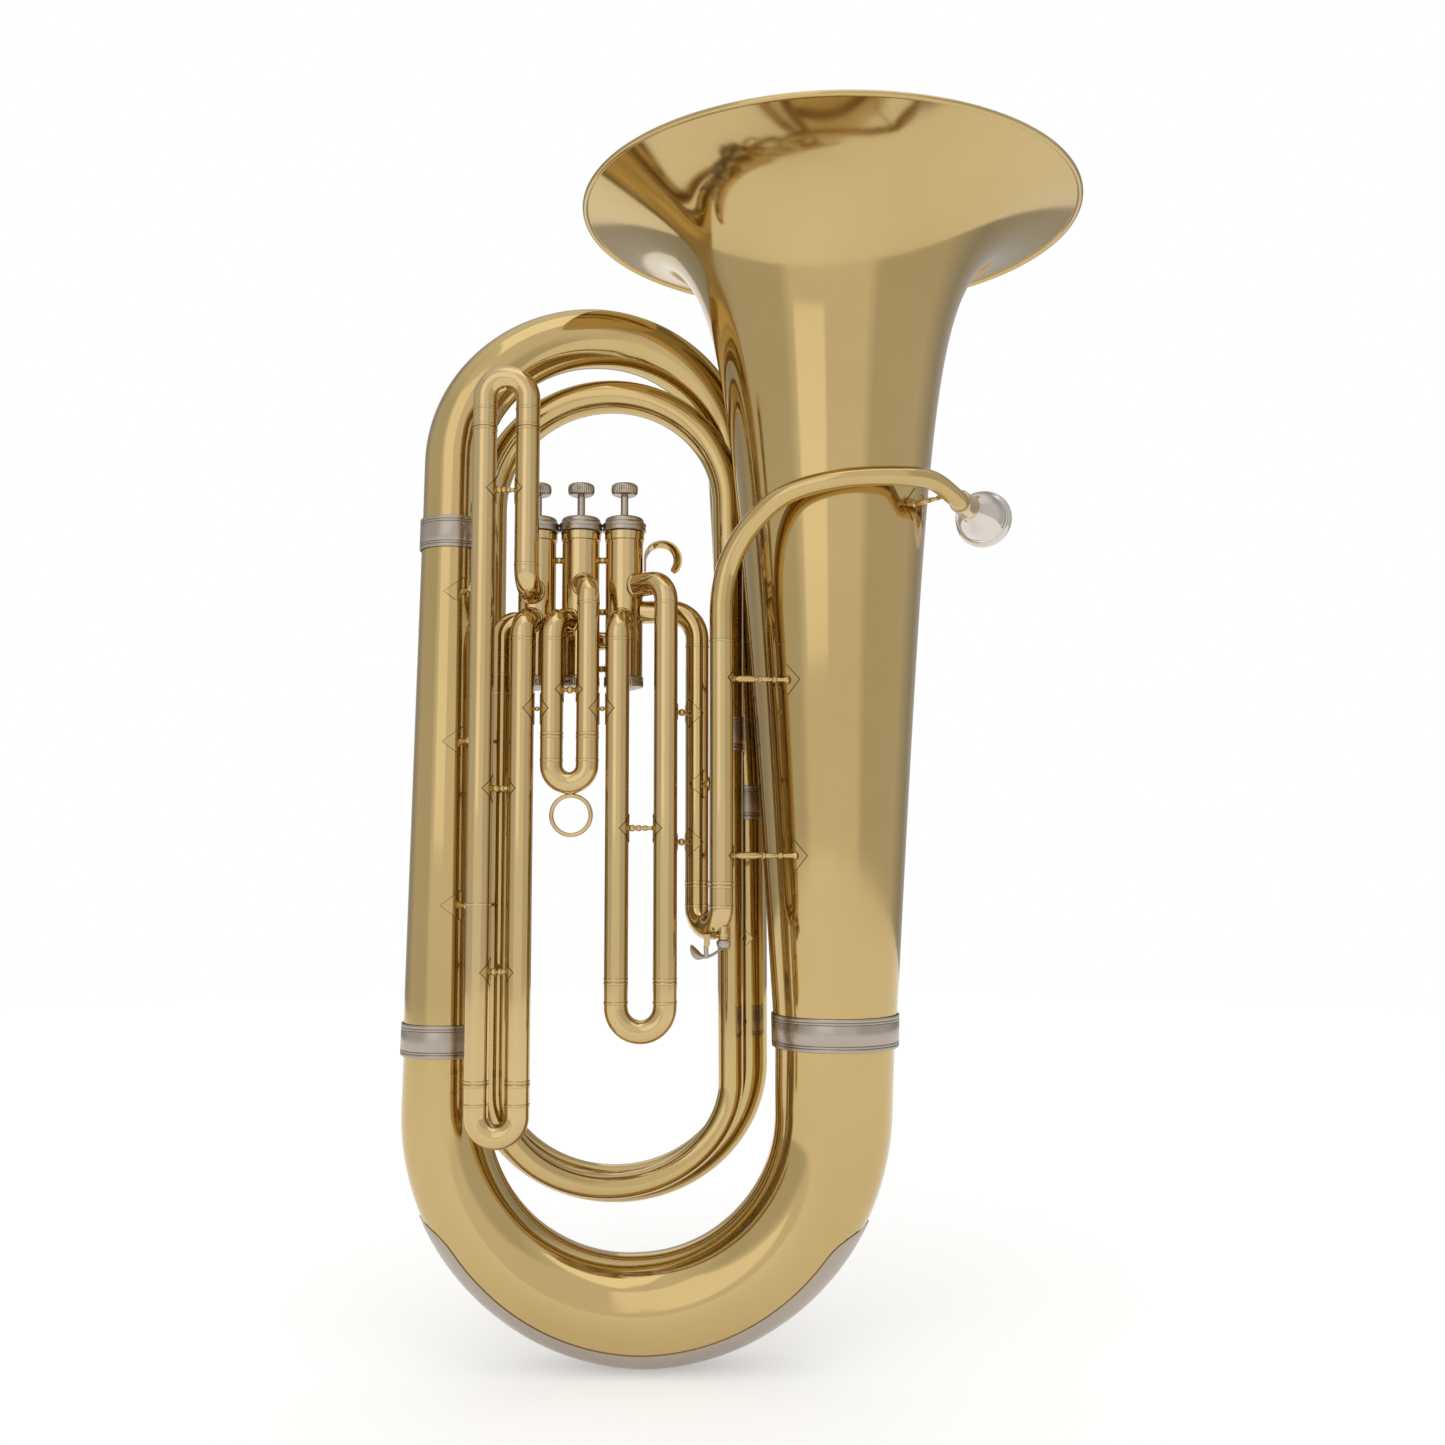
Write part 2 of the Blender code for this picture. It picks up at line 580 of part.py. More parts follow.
def make_leadpipe():
    """The leadpipe, from its straight slide leg over the shoulder, and its receiver."""
    shoulder = [(0.0624, -0.0600, PIPE_FOOT_Z + GAP), (0.0628, -0.0603, 0.5700),
                (0.0688, -0.0634, 0.5970), (0.0836, -0.0706, 0.6215),
                (0.1088, -0.0820, 0.6420), (0.1480, -0.0902, 0.6520),
                (0.1921, -0.0890, 0.6546), (0.2170, -0.0790, 0.6535)]
    tail = RECEIVER_END - RECEIVER_AXIS * 0.0260
    route = [Vector(p) for p in shoulder] + [tail - RECEIVER_AXIS * 0.0120, tail]
    path = smooth(route, 2)
    stations = [(0, SLIDE_RADIUS), (0.18, 0.0085), (0.45, 0.0073), (1, 0.0069)]
    outer = [SLIDE_RADIUS] + taper(path, stations)
    path = [Vector((PIPE_LEG.x, PIPE_LEG.y, MAIN_JOINT_Z))] + path
    tube("leadpipe", path, outer, [r - SLIDE_WALL for r in outer], SLIDE_SIDES,
         "lacquered_brass")

    turned("mouthpiece_receiver", tail, RECEIVER_AXIS,
           [(0.0072, 0.0004), (0.0086, 0.0004), (0.0086, 0.0236), (0.0094, 0.0244),
            (0.0094, 0.0260), (0.0068, 0.0260)], 12, "gold_brass")


def make_mouthpiece():
    """Shank, backbore, throat, cup and rim; the cup faces the player."""
    depth = 0.0180
    turned("mouthpiece", RECEIVER_END - RECEIVER_AXIS * depth, RECEIVER_AXIS,
           [(0.0046, 0.0000), (0.0058, 0.0000), (0.0066, 0.0270), (0.0090, 0.0305),
            (0.0110, 0.0370), (0.0165, 0.0450), (0.0192, 0.0560), (0.0205, 0.0640),
            (0.0223, 0.0660), (0.0224, 0.0692), (0.0208, 0.0715), (0.0185, 0.0716),
            (0.0162, 0.0695), (0.0150, 0.0590), (0.0105, 0.0465), (0.0042, 0.0390)],
           16, "silver_plate", origin=RECEIVER_END)


def make_main_slide():
    foot = MAIN_JOINT_Z
    casing_side = VALVE_X[0] + CASING_RADIUS + GAP
    path = rounded([(INLET_LEG.x, INLET_LEG.y, foot), (INLET_LEG.x, INLET_LEG.y, INLET_Z),
                    (casing_side, VALVE_Y, INLET_Z)], 0.0215, 5)
    count = len(path)
    tube("valve_inlet_leg", path, [SLIDE_RADIUS] * count, [SLIDE_RADIUS - SLIDE_WALL] * count,
         SLIDE_SIDES, "gold_brass")
    slide("main_tuning_slide", INLET_LEG, PIPE_LEG, foot, 0.3425, SLIDE_RADIUS,
          legs=(0.115, 0.115))


def make_water_key():
    """The drain lever under the tuning slide's bow: thumb plate, hub, cup and cork."""
    pivot = Vector((0.0520, -0.0620, 0.3160))
    half, hub_top, cup_foot, cup_top = 0.0022, 0.0010, -0.0024, 0.0008
    # (distance along X, lower face, upper face, half width)
    outline = (
        (-0.0120, -0.0041, -0.0019, 0.0026), (-0.0100, -0.0062, -0.0038, 0.0042),
        (-0.0070, -0.0084, -0.0060, 0.0042), (-0.0026, -0.0098, -0.0074, half),
        (-0.0020, -0.0099, hub_top, half), (0.0008, -0.0098, hub_top, half),
        (0.0014, -0.0096, -0.0072, half), (0.0050, -0.0080, -0.0056, half),
        (0.0068, -0.0066, -0.0038, half), (0.0074, -0.0036, cup_top, 0.0028),
        (0.0098, cup_foot, cup_top, 0.0050), (0.0142, cup_foot, cup_top, 0.0050),
        (0.0168, cup_foot, cup_top, 0.0028))
    rings = []
    for dx, low, high, width in outline:
        rings.append([pivot + Vector((dx, dy, dz)) for dy, dz in
                      ((-width, low), (width, low), (width, high), (-width, high))])
    skin("water_key_lever", rings, "nickel_silver", pivot, cyclic=False)
    turned("water_key_cork", pivot + Vector((0.0120, 0, cup_top + GAP)), Z_AXIS,
           [(0.0032, 0), (0.0038, 0.0004), (0.0038, 0.0014), (0.0034, 0.0019)], 10,
           "cork", hollow=False)


# --------------------------------------------------------------------- braces
def brace(name, start, end, rod):
    """A turned rod with three beads and a foot at each end."""
    start, end = Vector(start), Vector(end)
    length = (end - start).length
    shape = [(2.1, 0.0), (1.9, 0.04), (1.0, 0.12), (1.0, 0.22), (1.6, 0.28), (1.0, 0.34),
             (1.0, 0.44), (1.6, 0.50), (1.0, 0.56), (1.0, 0.66), (1.6, 0.72), (1.0, 0.78),
             (1.0, 0.88), (1.9, 0.96), (2.1, 1.0)]
    turned(name, start, end - start, [(rod * wide, length * share) for wide, share in shape],
           8, "lacquered_brass", hollow=False)


def make_braces():
    leg_front = SLIDE_RADIUS + GAP
    brace("bell_brace_upper", (PIPE_LEG.x + leg_front, PIPE_LEG.y, 0.5100),
          (0.1095, -0.0538, 0.5100), 0.0020)
    brace("bell_brace_lower", (PIPE_LEG.x + leg_front + GAP, PIPE_LEG.y, 0.3800),
          (0.1145, -0.0478, 0.3815), 0.0020)
    (left_x, _), (right_x, _) = LEGS[0]
    brace("valve1_brace", (left_x + leg_front, SLIDE_Y, 0.4000),
          (right_x - leg_front, SLIDE_Y, 0.4000), 0.0018)
    third = THIRD_SLIDE_RADIUS + GAP
    brace("valve3_brace", (-0.1141 + third, SLIDE_Y, 0.4290),
          (LEGS[2][0][0] - third, SLIDE_Y, 0.4290), 0.0016)
    across = (INLET_LEG - Vector((right_x, SLIDE_Y, 0))).normalized()
    brace("main_slide_brace", Vector((right_x, SLIDE_Y, 0.3920)) + across * leg_front,
          Vector((INLET_LEG.x, INLET_LEG.y, 0.3920)) - across * leg_front, 0.0016)


# ------------------------------------------------------------------- assembly
make_bell()
ferrule("bell_ferrule", (BELL_X, 0, 0.2362), (BELL_X, 0, 0.2606), 0.0472, 0.0477, 28)
make_bottom_bow()
make_bow_guard()
ferrule("large_branch_lower_ferrule", (BRANCH_X - 0.0003, 0, 0.2300),
        (BRANCH_X - 0.0003, 0, 0.2540), 0.0324, 0.0318, 20)
ferrule("large_branch_upper_ferrule", (BRANCH_X + 0.0008, 0, 0.6162),
        (BRANCH_X + 0.0010, 0, 0.6404), 0.0256, 0.0254, 20)
make_large_branches()
make_rear_loop()
make_front_loop()
for valve_index in range(3):
    make_valve(valve_index)
make_valve_links()
make_finger_hook()
make_valve_slides()
make_leadpipe()
make_mouthpiece()
make_main_slide()
make_water_key()
make_braces()
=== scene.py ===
"""Finished look of the three-valve tuba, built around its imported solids.

Metres, +Z up.  The bell is at +X and the valve slides are on the -Y side.  Each
function makes one group of pieces and says which body they ride on.
"""
import math

import bmesh
import bpy
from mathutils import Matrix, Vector


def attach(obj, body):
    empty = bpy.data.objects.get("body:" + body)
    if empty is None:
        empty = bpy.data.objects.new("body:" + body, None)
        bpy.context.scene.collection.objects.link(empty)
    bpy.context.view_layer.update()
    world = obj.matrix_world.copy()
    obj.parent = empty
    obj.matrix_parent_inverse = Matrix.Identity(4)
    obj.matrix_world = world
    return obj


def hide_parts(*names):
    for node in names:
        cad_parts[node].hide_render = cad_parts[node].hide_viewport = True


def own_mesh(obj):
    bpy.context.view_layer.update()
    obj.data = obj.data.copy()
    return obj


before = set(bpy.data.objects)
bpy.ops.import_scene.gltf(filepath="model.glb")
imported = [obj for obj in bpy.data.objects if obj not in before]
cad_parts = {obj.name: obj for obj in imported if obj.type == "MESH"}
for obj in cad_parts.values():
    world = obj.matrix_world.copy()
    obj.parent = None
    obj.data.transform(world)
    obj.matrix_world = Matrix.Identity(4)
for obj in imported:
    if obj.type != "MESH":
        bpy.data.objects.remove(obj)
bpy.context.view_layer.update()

# --------------------------------------------------- sizes repeated from part.py
WALL = 0.0008
SLIDE_WALL = 0.0006
SLIDE_CLEARANCE = 0.0003
INNER_LEG_LENGTH = 0.130
BELL_X, BELL_FOOT_Z, RIM_Z, RIM_BEAD = 0.1490, 0.2452, 0.8875, 0.0022
BOW_HALF_WIDTH, BOW_SPRING_Z, BOW_BOTTOM_Z = 0.1476, 0.1900, 0.0415
BRANCH_X, BRANCH_FOOT_Z, BRANCH_TOP_Z = -0.1476, 0.2398, 0.6336
VALVE_X = (-0.0116, -0.0447, -0.0777)
VALVE_Y = -0.030
CASING_RADIUS, CASING_BORE = 0.0142, 0.0133
CASING_FOOT_Z, CASING_TOP_Z = 0.5146, 0.6250
PISTON_FOOT_Z, PISTON_TOP_Z, STROKE = 0.5300, 0.6120, 0.0150
SLIDE_Y = -0.060
SLIDE_RADIUS, SECOND_SLIDE_RADIUS, THIRD_SLIDE_RADIUS = 0.0087, 0.0083, 0.0090
LOWER_PORT_Z, UPPER_PORT_Z, LINK_Z, INLET_Z = 0.5557, 0.5827, 0.5420, 0.5640
LEGS = (
    ((-0.0139, LOWER_PORT_Z), (0.0215, UPPER_PORT_Z)),
    ((-0.0622, LOWER_PORT_Z), (-0.0359, UPPER_PORT_Z)),
    ((-0.0844, LOWER_PORT_Z), (-0.0821, 0.5780)),
)
EXIT_X, LONG_LEG_X = -0.1034, -0.1141
FIRST_JOINT_Z, SECOND_JOINT_Z, LOW_JOINT_Z, HIGH_JOINT_Z = 0.2897, 0.4682, 0.2172, 0.6980
PIPE_LEG = Vector((0.0624, -0.060, 0))
INLET_LEG = Vector((0.0441, -0.035, 0))
MAIN_JOINT_Z, PIPE_FOOT_Z = 0.3592, 0.5385
RECEIVER_END = Vector((0.2515, -0.0290, 0.6450))
RECEIVER_AXIS = Vector((0.39, 0.92, 0.03)).normalized()
KEY_PIVOT = Vector((0.0520, -0.0620, 0.3160))

X_AXIS, Y_AXIS, Z_AXIS = Vector((1, 0, 0)), Vector((0, 1, 0)), Vector((0, 0, 1))
ROUND, MEDIUM, FINE = 112, 64, 48     # sides of large, middle and small tubes


# ------------------------------------------------------------------- materials
def new_material(name):
    """A material, its node tree and its shader."""
    material = bpy.data.materials.new(name)
    material.use_nodes = True
    return material, material.node_tree, material.node_tree.nodes["Principled BSDF"]


def feed(tree, node, **inputs):
    """Set a node's inputs by name: a socket is linked, anything else is the value."""
    for name, value in inputs.items():
        socket = node.inputs[name.replace("_", " ")]
        if isinstance(value, bpy.types.NodeSocket):
            tree.links.new(value, socket)
        else:
            socket.default_value = value


def add_node(tree, kind, **inputs):
    node = tree.nodes.new("ShaderNode" + kind)
    feed(tree, node, **inputs)
    return node


def metal(name, bright, deep, roughness, streak, coat=0.0):
    """A polished metal: tone drifts slowly, gloss varies, and a faint polish grain."""
    material, tree, shader = new_material(name)
    place = add_node(tree, "TexCoord").outputs["Object"]
    tone = add_node(tree, "TexNoise", Vector=place, Scale=9.0, Detail=3.0)
    colours = add_node(tree, "ValToRGB", Fac=tone.outputs["Fac"])
    colours.color_ramp.elements[0].position = 0.32
    colours.color_ramp.elements[0].color = (*deep, 1)
    colours.color_ramp.elements[1].position = 0.62
    colours.color_ramp.elements[1].color = (*bright, 1)
    smear = add_node(tree, "TexNoise", Vector=place, Scale=38.0, Detail=4.0)
    gloss = add_node(tree, "MapRange", Value=smear.outputs["Fac"], From_Min=0.3, From_Max=0.75,
                     To_Min=roughness * 0.75, To_Max=roughness * 1.35)
    stretch = add_node(tree, "Mapping", Vector=place, Scale=(900.0, 900.0, 40.0))
    grain = add_node(tree, "TexNoise", Vector=stretch.outputs["Vector"], Scale=1.0, Detail=2.0)
    bump = add_node(tree, "Bump", Height=grain.outputs["Fac"], Strength=streak, Distance=0.0001)
    feed(tree, shader, Metallic=1.0, Coat_Weight=coat, Coat_Roughness=0.04,
         Base_Color=colours.outputs["Color"], Roughness=gloss.outputs["Result"],
         Normal=bump.outputs["Normal"])
    return material


def cork_material():
    """Pressed cork: pale grains with dark pits."""
    material, tree, shader = new_material("pressed_cork")
    place = add_node(tree, "TexCoord").outputs["Object"]
    grains = add_node(tree, "TexVoronoi", Vector=place, Scale=900.0).outputs["Distance"]
    colours = add_node(tree, "ValToRGB", Fac=grains)
    colours.color_ramp.elements[0].color = (0.50, 0.31, 0.15, 1)
    colours.color_ramp.elements[1].color = (0.16, 0.08, 0.03, 1)
    bump = add_node(tree, "Bump", Height=grains, Distance=0.0002)
    feed(tree, shader, Base_Color=colours.outputs["Color"], Roughness=0.85,
         Normal=bump.outputs["Normal"])
    return material


METALS = {
    "lacquered_brass": metal("lacquered_brass_finish", (0.56, 0.41, 0.18), (0.53, 0.385, 0.165),
                             0.09, 0.10, coat=0.10),
    "gold_brass": metal("gold_brass_finish", (0.61, 0.45, 0.22), (0.58, 0.425, 0.20),
                        0.09, 0.12, coat=0.10),
    "nickel_silver": metal("nickel_silver_finish", (0.45, 0.39, 0.33), (0.42, 0.362, 0.305),
                           0.28, 0.25),
    # dark lines: the solder at joints, and painted shade in turned grooves and under steps
    "solder_and_groove_shade": metal("solder_line_and_painted_groove_shade", (0.15, 0.10, 0.045), (0.09, 0.06, 0.025),
                        0.35, 0.3),
    "silver_plate": metal("silver_plate_finish", (0.72, 0.66, 0.60), (0.64, 0.585, 0.53),
                          0.07, 0.05),
    "spring_steel": metal("spring_steel_finish", (0.50, 0.50, 0.52), (0.40, 0.40, 0.42),
                          0.30, 0.3),
    "cork": cork_material(),
}


# ------------------------------------------------------------------- tool box
LINES = {}      # for each body: the dark lines that ride on it, solder at the joints and painted shade in grooves and steps


def lines_of(body):
    if body not in LINES:
        LINES[body] = Shells()
    return LINES[body]


class Shells:
    """Closed shells gathered into one piece."""

    def __init__(self):
        self.bm = bmesh.new()

    def skin(self, rings, cyclic):
        """Join rings of points into a closed shell."""
        rows = [[self.bm.verts.new(point) for point in ring] for ring in rings]
        pairs = list(zip(rows, rows[1:]))
        faces = []
        if cyclic:
            pairs.append((rows[-1], rows[0]))
        else:
            faces.append(self.bm.faces.new(rows[0]))
            faces.append(self.bm.faces.new(rows[-1]))
        for low, high in pairs:
            for i in range(len(low)):
                j = (i + 1) % len(low)
                faces.append(self.bm.faces.new((low[i], low[j], high[j], high[i])))
        bmesh.ops.recalc_face_normals(self.bm, faces=faces)

    def show(self, name, slot, body="horn", nodes=(), look=None):
        """Make the piece, give it its metal, and let it ride on its body."""
        mesh = bpy.data.meshes.new(name)
        self.bm.to_mesh(mesh)
        self.bm.free()
        mesh.shade_smooth()
        mesh.set_sharp_from_angle(angle=math.radians(38))
        mesh.materials.append(METALS[look or slot])
        piece = bpy.data.objects.new(name, mesh)
        bpy.context.collection.objects.link(piece)
        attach(piece, body)
        if nodes:
            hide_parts(*nodes)
        return piece


def levelled(direction):
    """An end that runs within ten degrees of upright is cut level."""
    if abs(direction.z) > math.cos(math.radians(10)):
        return Z_AXIS * math.copysign(1, direction.z)
    return direction


def tangents(path):
    result = []
    for i, point in enumerate(path):
        before = next((p for p in reversed(path[:i]) if (p - point).length > 1e-6), point)
        after = next((p for p in path[i + 1:] if (p - point).length > 1e-6), point)
        back = (point - before).normalized() if before is not point else Vector()
        ahead = (after - point).normalized() if after is not point else Vector()
        result.append((back + ahead).normalized())
    result[0] = levelled(result[0])
    result[-1] = levelled(result[-1])
    return result


def normals(path, reference=Y_AXIS):
    """Carry a normal along the path, starting as near `reference` as it can be."""
    directions = tangents(path)
    normal = reference - reference.dot(directions[0]) * directions[0]
    result = []
    for i, direction in enumerate(directions):
        if i:
            normal = directions[i - 1].rotation_difference(direction) @ normal
        normal = (normal - normal.dot(direction) * direction).normalized()
        result.append(normal)
    return directions, result


def circle(centre, direction, normal, radius, sides, flutes=0, depth=0.0):
    """A ring of points; `flutes` and `depth` press a knurl into it."""
    side = direction.cross(normal)
    ring = []
    for i in range(sides):
        a = 2 * math.pi * i / sides
        r = radius + depth * math.cos(flutes * a) if flutes else radius
        ring.append(centre + r * (math.cos(a) * normal + math.sin(a) * side))
    return ring


def add_tube(shells, path, outer, inner, sides):
    """A hollow tube, open at both ends."""
    directions, across = normals(path)
    outside = [circle(p, d, n, r, sides) for p, d, n, r in zip(path, directions, across, outer)]
    inside = [circle(p, d, n, r, sides) for p, d, n, r in zip(path, directions, across, inner)]
    shells.skin(outside + inside[::-1], cyclic=True)


def add_even_tube(shells, path, radius, sides=FINE, wall=SLIDE_WALL):
    count = len(path)
    add_tube(shells, path, [radius] * count, [radius - wall] * count, sides)


def add_turned(shells, base, axis, outline, sides, hollow=True, flutes=0):
    """A lathe-turned shell from (radius, height) or (radius, height, knurl) points."""
    base, axis = Vector(base), Vector(axis).normalized()
    reference = Y_AXIS if abs(axis.z) > 0.9 else Z_AXIS
    normal = (reference - reference.dot(axis) * axis).normalized()
    rings = []
    for point in outline:
        depth = point[2] if len(point) > 2 else 0.0
        rings.append(circle(base + point[1] * axis, axis, normal, point[0], sides, flutes, depth))
    shells.skin(rings, cyclic=hollow)


def add_ball(shells, centre, radius, sides=24):
    steps = sides // 2
    outline = []
    for i in range(steps + 1):
        angle = math.pi * (i + 0.25) / (steps + 0.5)
        outline.append((radius * math.sin(angle), -radius * math.cos(angle)))
    add_turned(shells, centre, Z_AXIS, outline, sides, hollow=False)


def add_line(centre, axis, radius, body="horn", sides=FINE, width=0.0005):
    """A fine dark line round a tube: a joint's solder, and painted shade of the groove or step it sits in.
    """
    half, sink, lift = width / 2, 0.0003, 0.00016
    outline = [(radius - sink, -half), (radius + lift, -half * 0.6),
               (radius + lift, half * 0.6), (radius - sink, half)]
    add_turned(lines_of(body), centre, axis, outline, sides)


def add_collars(shells, place, heights, radius, body="horn"):
    """Narrow raised sleeves round an upright tube, with a dark line at each edge: solder, and painted shade
    under the step.
    """
    half, ease, lift = 0.00085, 0.0002, 0.00026
    outline = [(radius - 0.0003, -half), (radius + lift * 0.6, -half),
               (radius + lift, -half + ease), (radius + lift, half - ease),
               (radius + lift * 0.6, half), (radius - 0.0003, half)]
    for z in heights:
        centre = Vector((place[0], place[1], z))
        add_turned(shells, centre, Z_AXIS, outline, FINE)
        for way in (-1, 1):
            add_line(centre + Z_AXIS * way * half, Z_AXIS, radius, body)


def taper(path, stations):
    """Radius at each point, from (share of the length, radius) stations, eased."""
    lengths = [0.0]
    for a, b in zip(path, path[1:]):
        lengths.append(lengths[-1] + (b - a).length)
    result = []
    for length in lengths:
        share = length / lengths[-1]
        for (s0, r0), (s1, r1) in zip(stations, stations[1:]):
            if share <= s1 + 1e-9:
                result.append(r0 + (r1 - r0) * (share - s0) / (s1 - s0))
                break
    return result


def half_bow(start, end, rise, steps):
    """Half an ellipse from start to end, `rise` above or below them."""
    start, end = Vector(start), Vector(end)
    middle = (start + end) / 2
    points = []
    for i in range(steps + 1):
        angle = math.pi * i / steps
        points.append(middle + (start - middle) * math.cos(angle)
                      + Z_AXIS * rise * math.sin(angle))
    return points


def rounded(corners, radius, steps=16):
    """The route through the corners, with an arc of `radius` at each inner one."""
    corners = [Vector(c) for c in corners]
    points = [corners[0]]
    for before, corner, after in zip(corners, corners[1:], corners[2:]):
        arrive = (corner - before).normalized()
        leave = (after - corner).normalized()
        turn = arrive.angle(leave)
        setback = radius * math.tan(turn / 2)
        inward = (leave - arrive * arrive.dot(leave)).normalized()
        centre = corner - arrive * setback + inward * radius
        for i in range(steps + 1):
            angle = turn * i / steps
            points.append(centre - inward * radius * math.cos(angle)
                          + arrive * radius * math.sin(angle))
    points.append(corners[-1])
    return points


def smooth(points, steps):
    """A Catmull-Rom curve through the points."""
    points = [Vector(p) for p in points]
    padded = [2 * points[0] - points[1]] + points + [2 * points[-1] - points[-2]]
    result = []
    for a, b, c, d in zip(padded, padded[1:], padded[2:], padded[3:]):
        for i in range(steps):
            t = i / steps
            result.append(0.5 * (2 * b + (c - a) * t + (2 * a - 5 * b + 4 * c - d) * t ** 2
                                 + (3 * b - a - 3 * c + d) * t ** 3))
    result.append(points[-1])
    return result


# ------------------------------------------------------------------------ bell
def bell_radius(z):
    """Outer radius of the bell: a slow cone that opens like a hyperbola."""
    return 0.0430 + 0.0553 * (z - 0.2251) + 0.001335 * (0.9254 - z) ** -1.362


def bell_slope(z):
    return (bell_radius(z + 1e-5) - bell_radius(z - 1e-5)) / 2e-5


def make_bell():
    steps = 84
    edge = bell_radius(RIM_Z)
    top = RIM_Z - 0.0006
    outer, inner = [], []
    for i in range(steps + 1):
        z = top - (top - BELL_FOOT_Z) * (1 - i / steps) ** 2.2
        lean = math.atan(bell_slope(z))
        outer.append((bell_radius(z), z))
        inner.append((bell_radius(z) - WALL * math.cos(lean), z + WALL * math.sin(lean)))
    inner[0] = (inner[0][0], BELL_FOOT_Z)
    roll = arc(edge - 0.0002, RIM_Z, RIM_BEAD, 200, 520, 16)
    shells = Shells()
    add_turned(shells, (BELL_X, 0, 0), Z_AXIS, outer + roll + inner[::-1], 160)
    shells.show("bell_shell", "lacquered_brass", nodes=["bell_tail", "bell_flare"])


def add_sleeve(shells, foot, top, foot_radius, top_radius, lift, sides):
    """A ferrule with rounded ends and two pairs of fine lines turned into it; a dark ring of painted groove
    shade lies in each line, and a dark solder line at each end.
    """
    foot, top = Vector(foot), Vector(top)
    length = (top - foot).length
    groove, ease = 0.0004, 0.0005
    near, far = length * 0.11, length * 0.185
    marks = [near, far, length - far, length - near]
    way = (top - foot).normalized()
    # dark rings: painted shade in the four grooves, solder at the two ends
    for mark in [0.0] + marks + [length]:
        base = foot_radius + (top_radius - foot_radius) * mark / length
        depth = lift if mark in marks else 0.0003
        add_line(foot + way * mark, way, base + depth - 0.00018, sides=sides)
    outline = [(-0.0002, 0.0), (lift * 0.6, 0.0), (lift, ease)]
    for mark in marks:
        outline += [(lift, mark - groove), (lift - 0.00028, mark), (lift, mark + groove)]
    outline += [(lift, length - ease), (lift * 0.6, length), (-0.0002, length)]
    rings = []
    for rise, height in outline:
        base = foot_radius + (top_radius - foot_radius) * height / length
        rings.append((base + rise, height))
    add_turned(shells, foot, top - foot, rings, sides)


def make_ferrules():
    rows = (
        ("bell_ferrule", (BELL_X, 0, 0.2362), (BELL_X, 0, 0.2606), 0.0475, 0.0480, ROUND),
        ("large_branch_lower_ferrule", (BRANCH_X - 0.0003, 0, 0.2300),
         (BRANCH_X - 0.0003, 0, 0.2540), 0.0327, 0.0321, ROUND),
        ("large_branch_upper_ferrule", (BRANCH_X + 0.0008, 0, 0.6162),
         (BRANCH_X + 0.0010, 0, 0.6404), 0.0259, 0.0257, ROUND),
        ("rear_branch_ferrule", (0.08266, 0.0536, 0.4075), (0.08230, 0.0552, 0.4345),
         0.0169, 0.0173, MEDIUM),
        ("front_branch_ferrule", (0.06913, 0.0277, 0.4615), (0.06898, 0.0290, 0.4890),
         0.0114, 0.0117, MEDIUM),
    )
    for node, foot, top, foot_radius, top_radius, sides in rows:
        shells = Shells()
        add_sleeve(shells, foot, top, foot_radius, top_radius, WALL, sides)
        shells.show(node + "_sleeve", "nickel_silver", nodes=[node])


# ----------------------------------------------------------------- main bugle
def bottom_bow_line(steps):
    left = (BRANCH_X, 0, BOW_SPRING_Z)
    right = (BOW_HALF_WIDTH, 0, BOW_SPRING_Z)
    path = [Vector((BRANCH_X, 0, BRANCH_FOOT_Z - 0.0003))]
    path += half_bow(left, right, BOW_BOTTOM_Z - BOW_SPRING_Z, steps)
    path.append(Vector((BELL_X, 0, BELL_FOOT_Z - 0.0003)))
    stations = [(0, 0.0310), (0.09, 0.0322), (0.3, 0.0352), (0.5, 0.0404), (0.72, 0.0428),
                (0.9, 0.0446), (1, 0.0455)]
    return path, taper(path, stations)


def make_bottom_bow():
    path, outer = bottom_bow_line(84)
    show_tube("bottom_bow", path, outer, ROUND)
    make_bow_guard(path, outer)


def make_bow_guard(path, outer):
    """The nickel strip along the outside of the bottom bow, with tongue-shaped ends."""
    lift, thick, spread = 0.0001, 0.0011, 54.0
    directions, across = normals(path)
    count = len(path) - 2
    first, last = 1 + round(count * 0.143), 1 + round(count * 0.850)
    rings = []
    for i in range(first, last + 1):
        out = across[i].cross(directions[i])
        end = min(i - first, last - i) / 5
        share = math.sqrt(max(0.03, 1 - (1 - min(end, 1)) ** 2))
        near, far = outer[i] + lift, outer[i] + lift + thick
        strip = []
        for k in range(19):
            turn = math.radians(spread * share * (-1 + 2 * k / 18))
            strip.append((near, turn))
        for k in range(19):
            angle = spread * share * (1 - 2 * k / 18)
            edge = 1 - max(0.0, (abs(angle) / (spread * share) - 0.93) / 0.07) * 0.4
            strip.append((near + (far - near) * edge, math.radians(angle)))
        rings.append([path[i] + r * (math.cos(t) * out + math.sin(t) * across[i])
                      for r, t in strip])
    shells = Shells()
    shells.skin(rings, cyclic=False)
    shells.show("bottom_bow_guard_strip", "nickel_silver", nodes=["bottom_bow_guard"])


def show_tube(node, path, outer, sides, wall=WALL):
    """One brass tube in place of a node's solid."""
    shells = Shells()
    add_tube(shells, path, outer, [r - wall for r in outer], sides)
    shells.show(node + "_tube", "lacquered_brass", nodes=[node])


def show_branch(node, path, stations, sides, wall=WALL):
    show_tube(node, path, taper(path, stations), sides, wall)


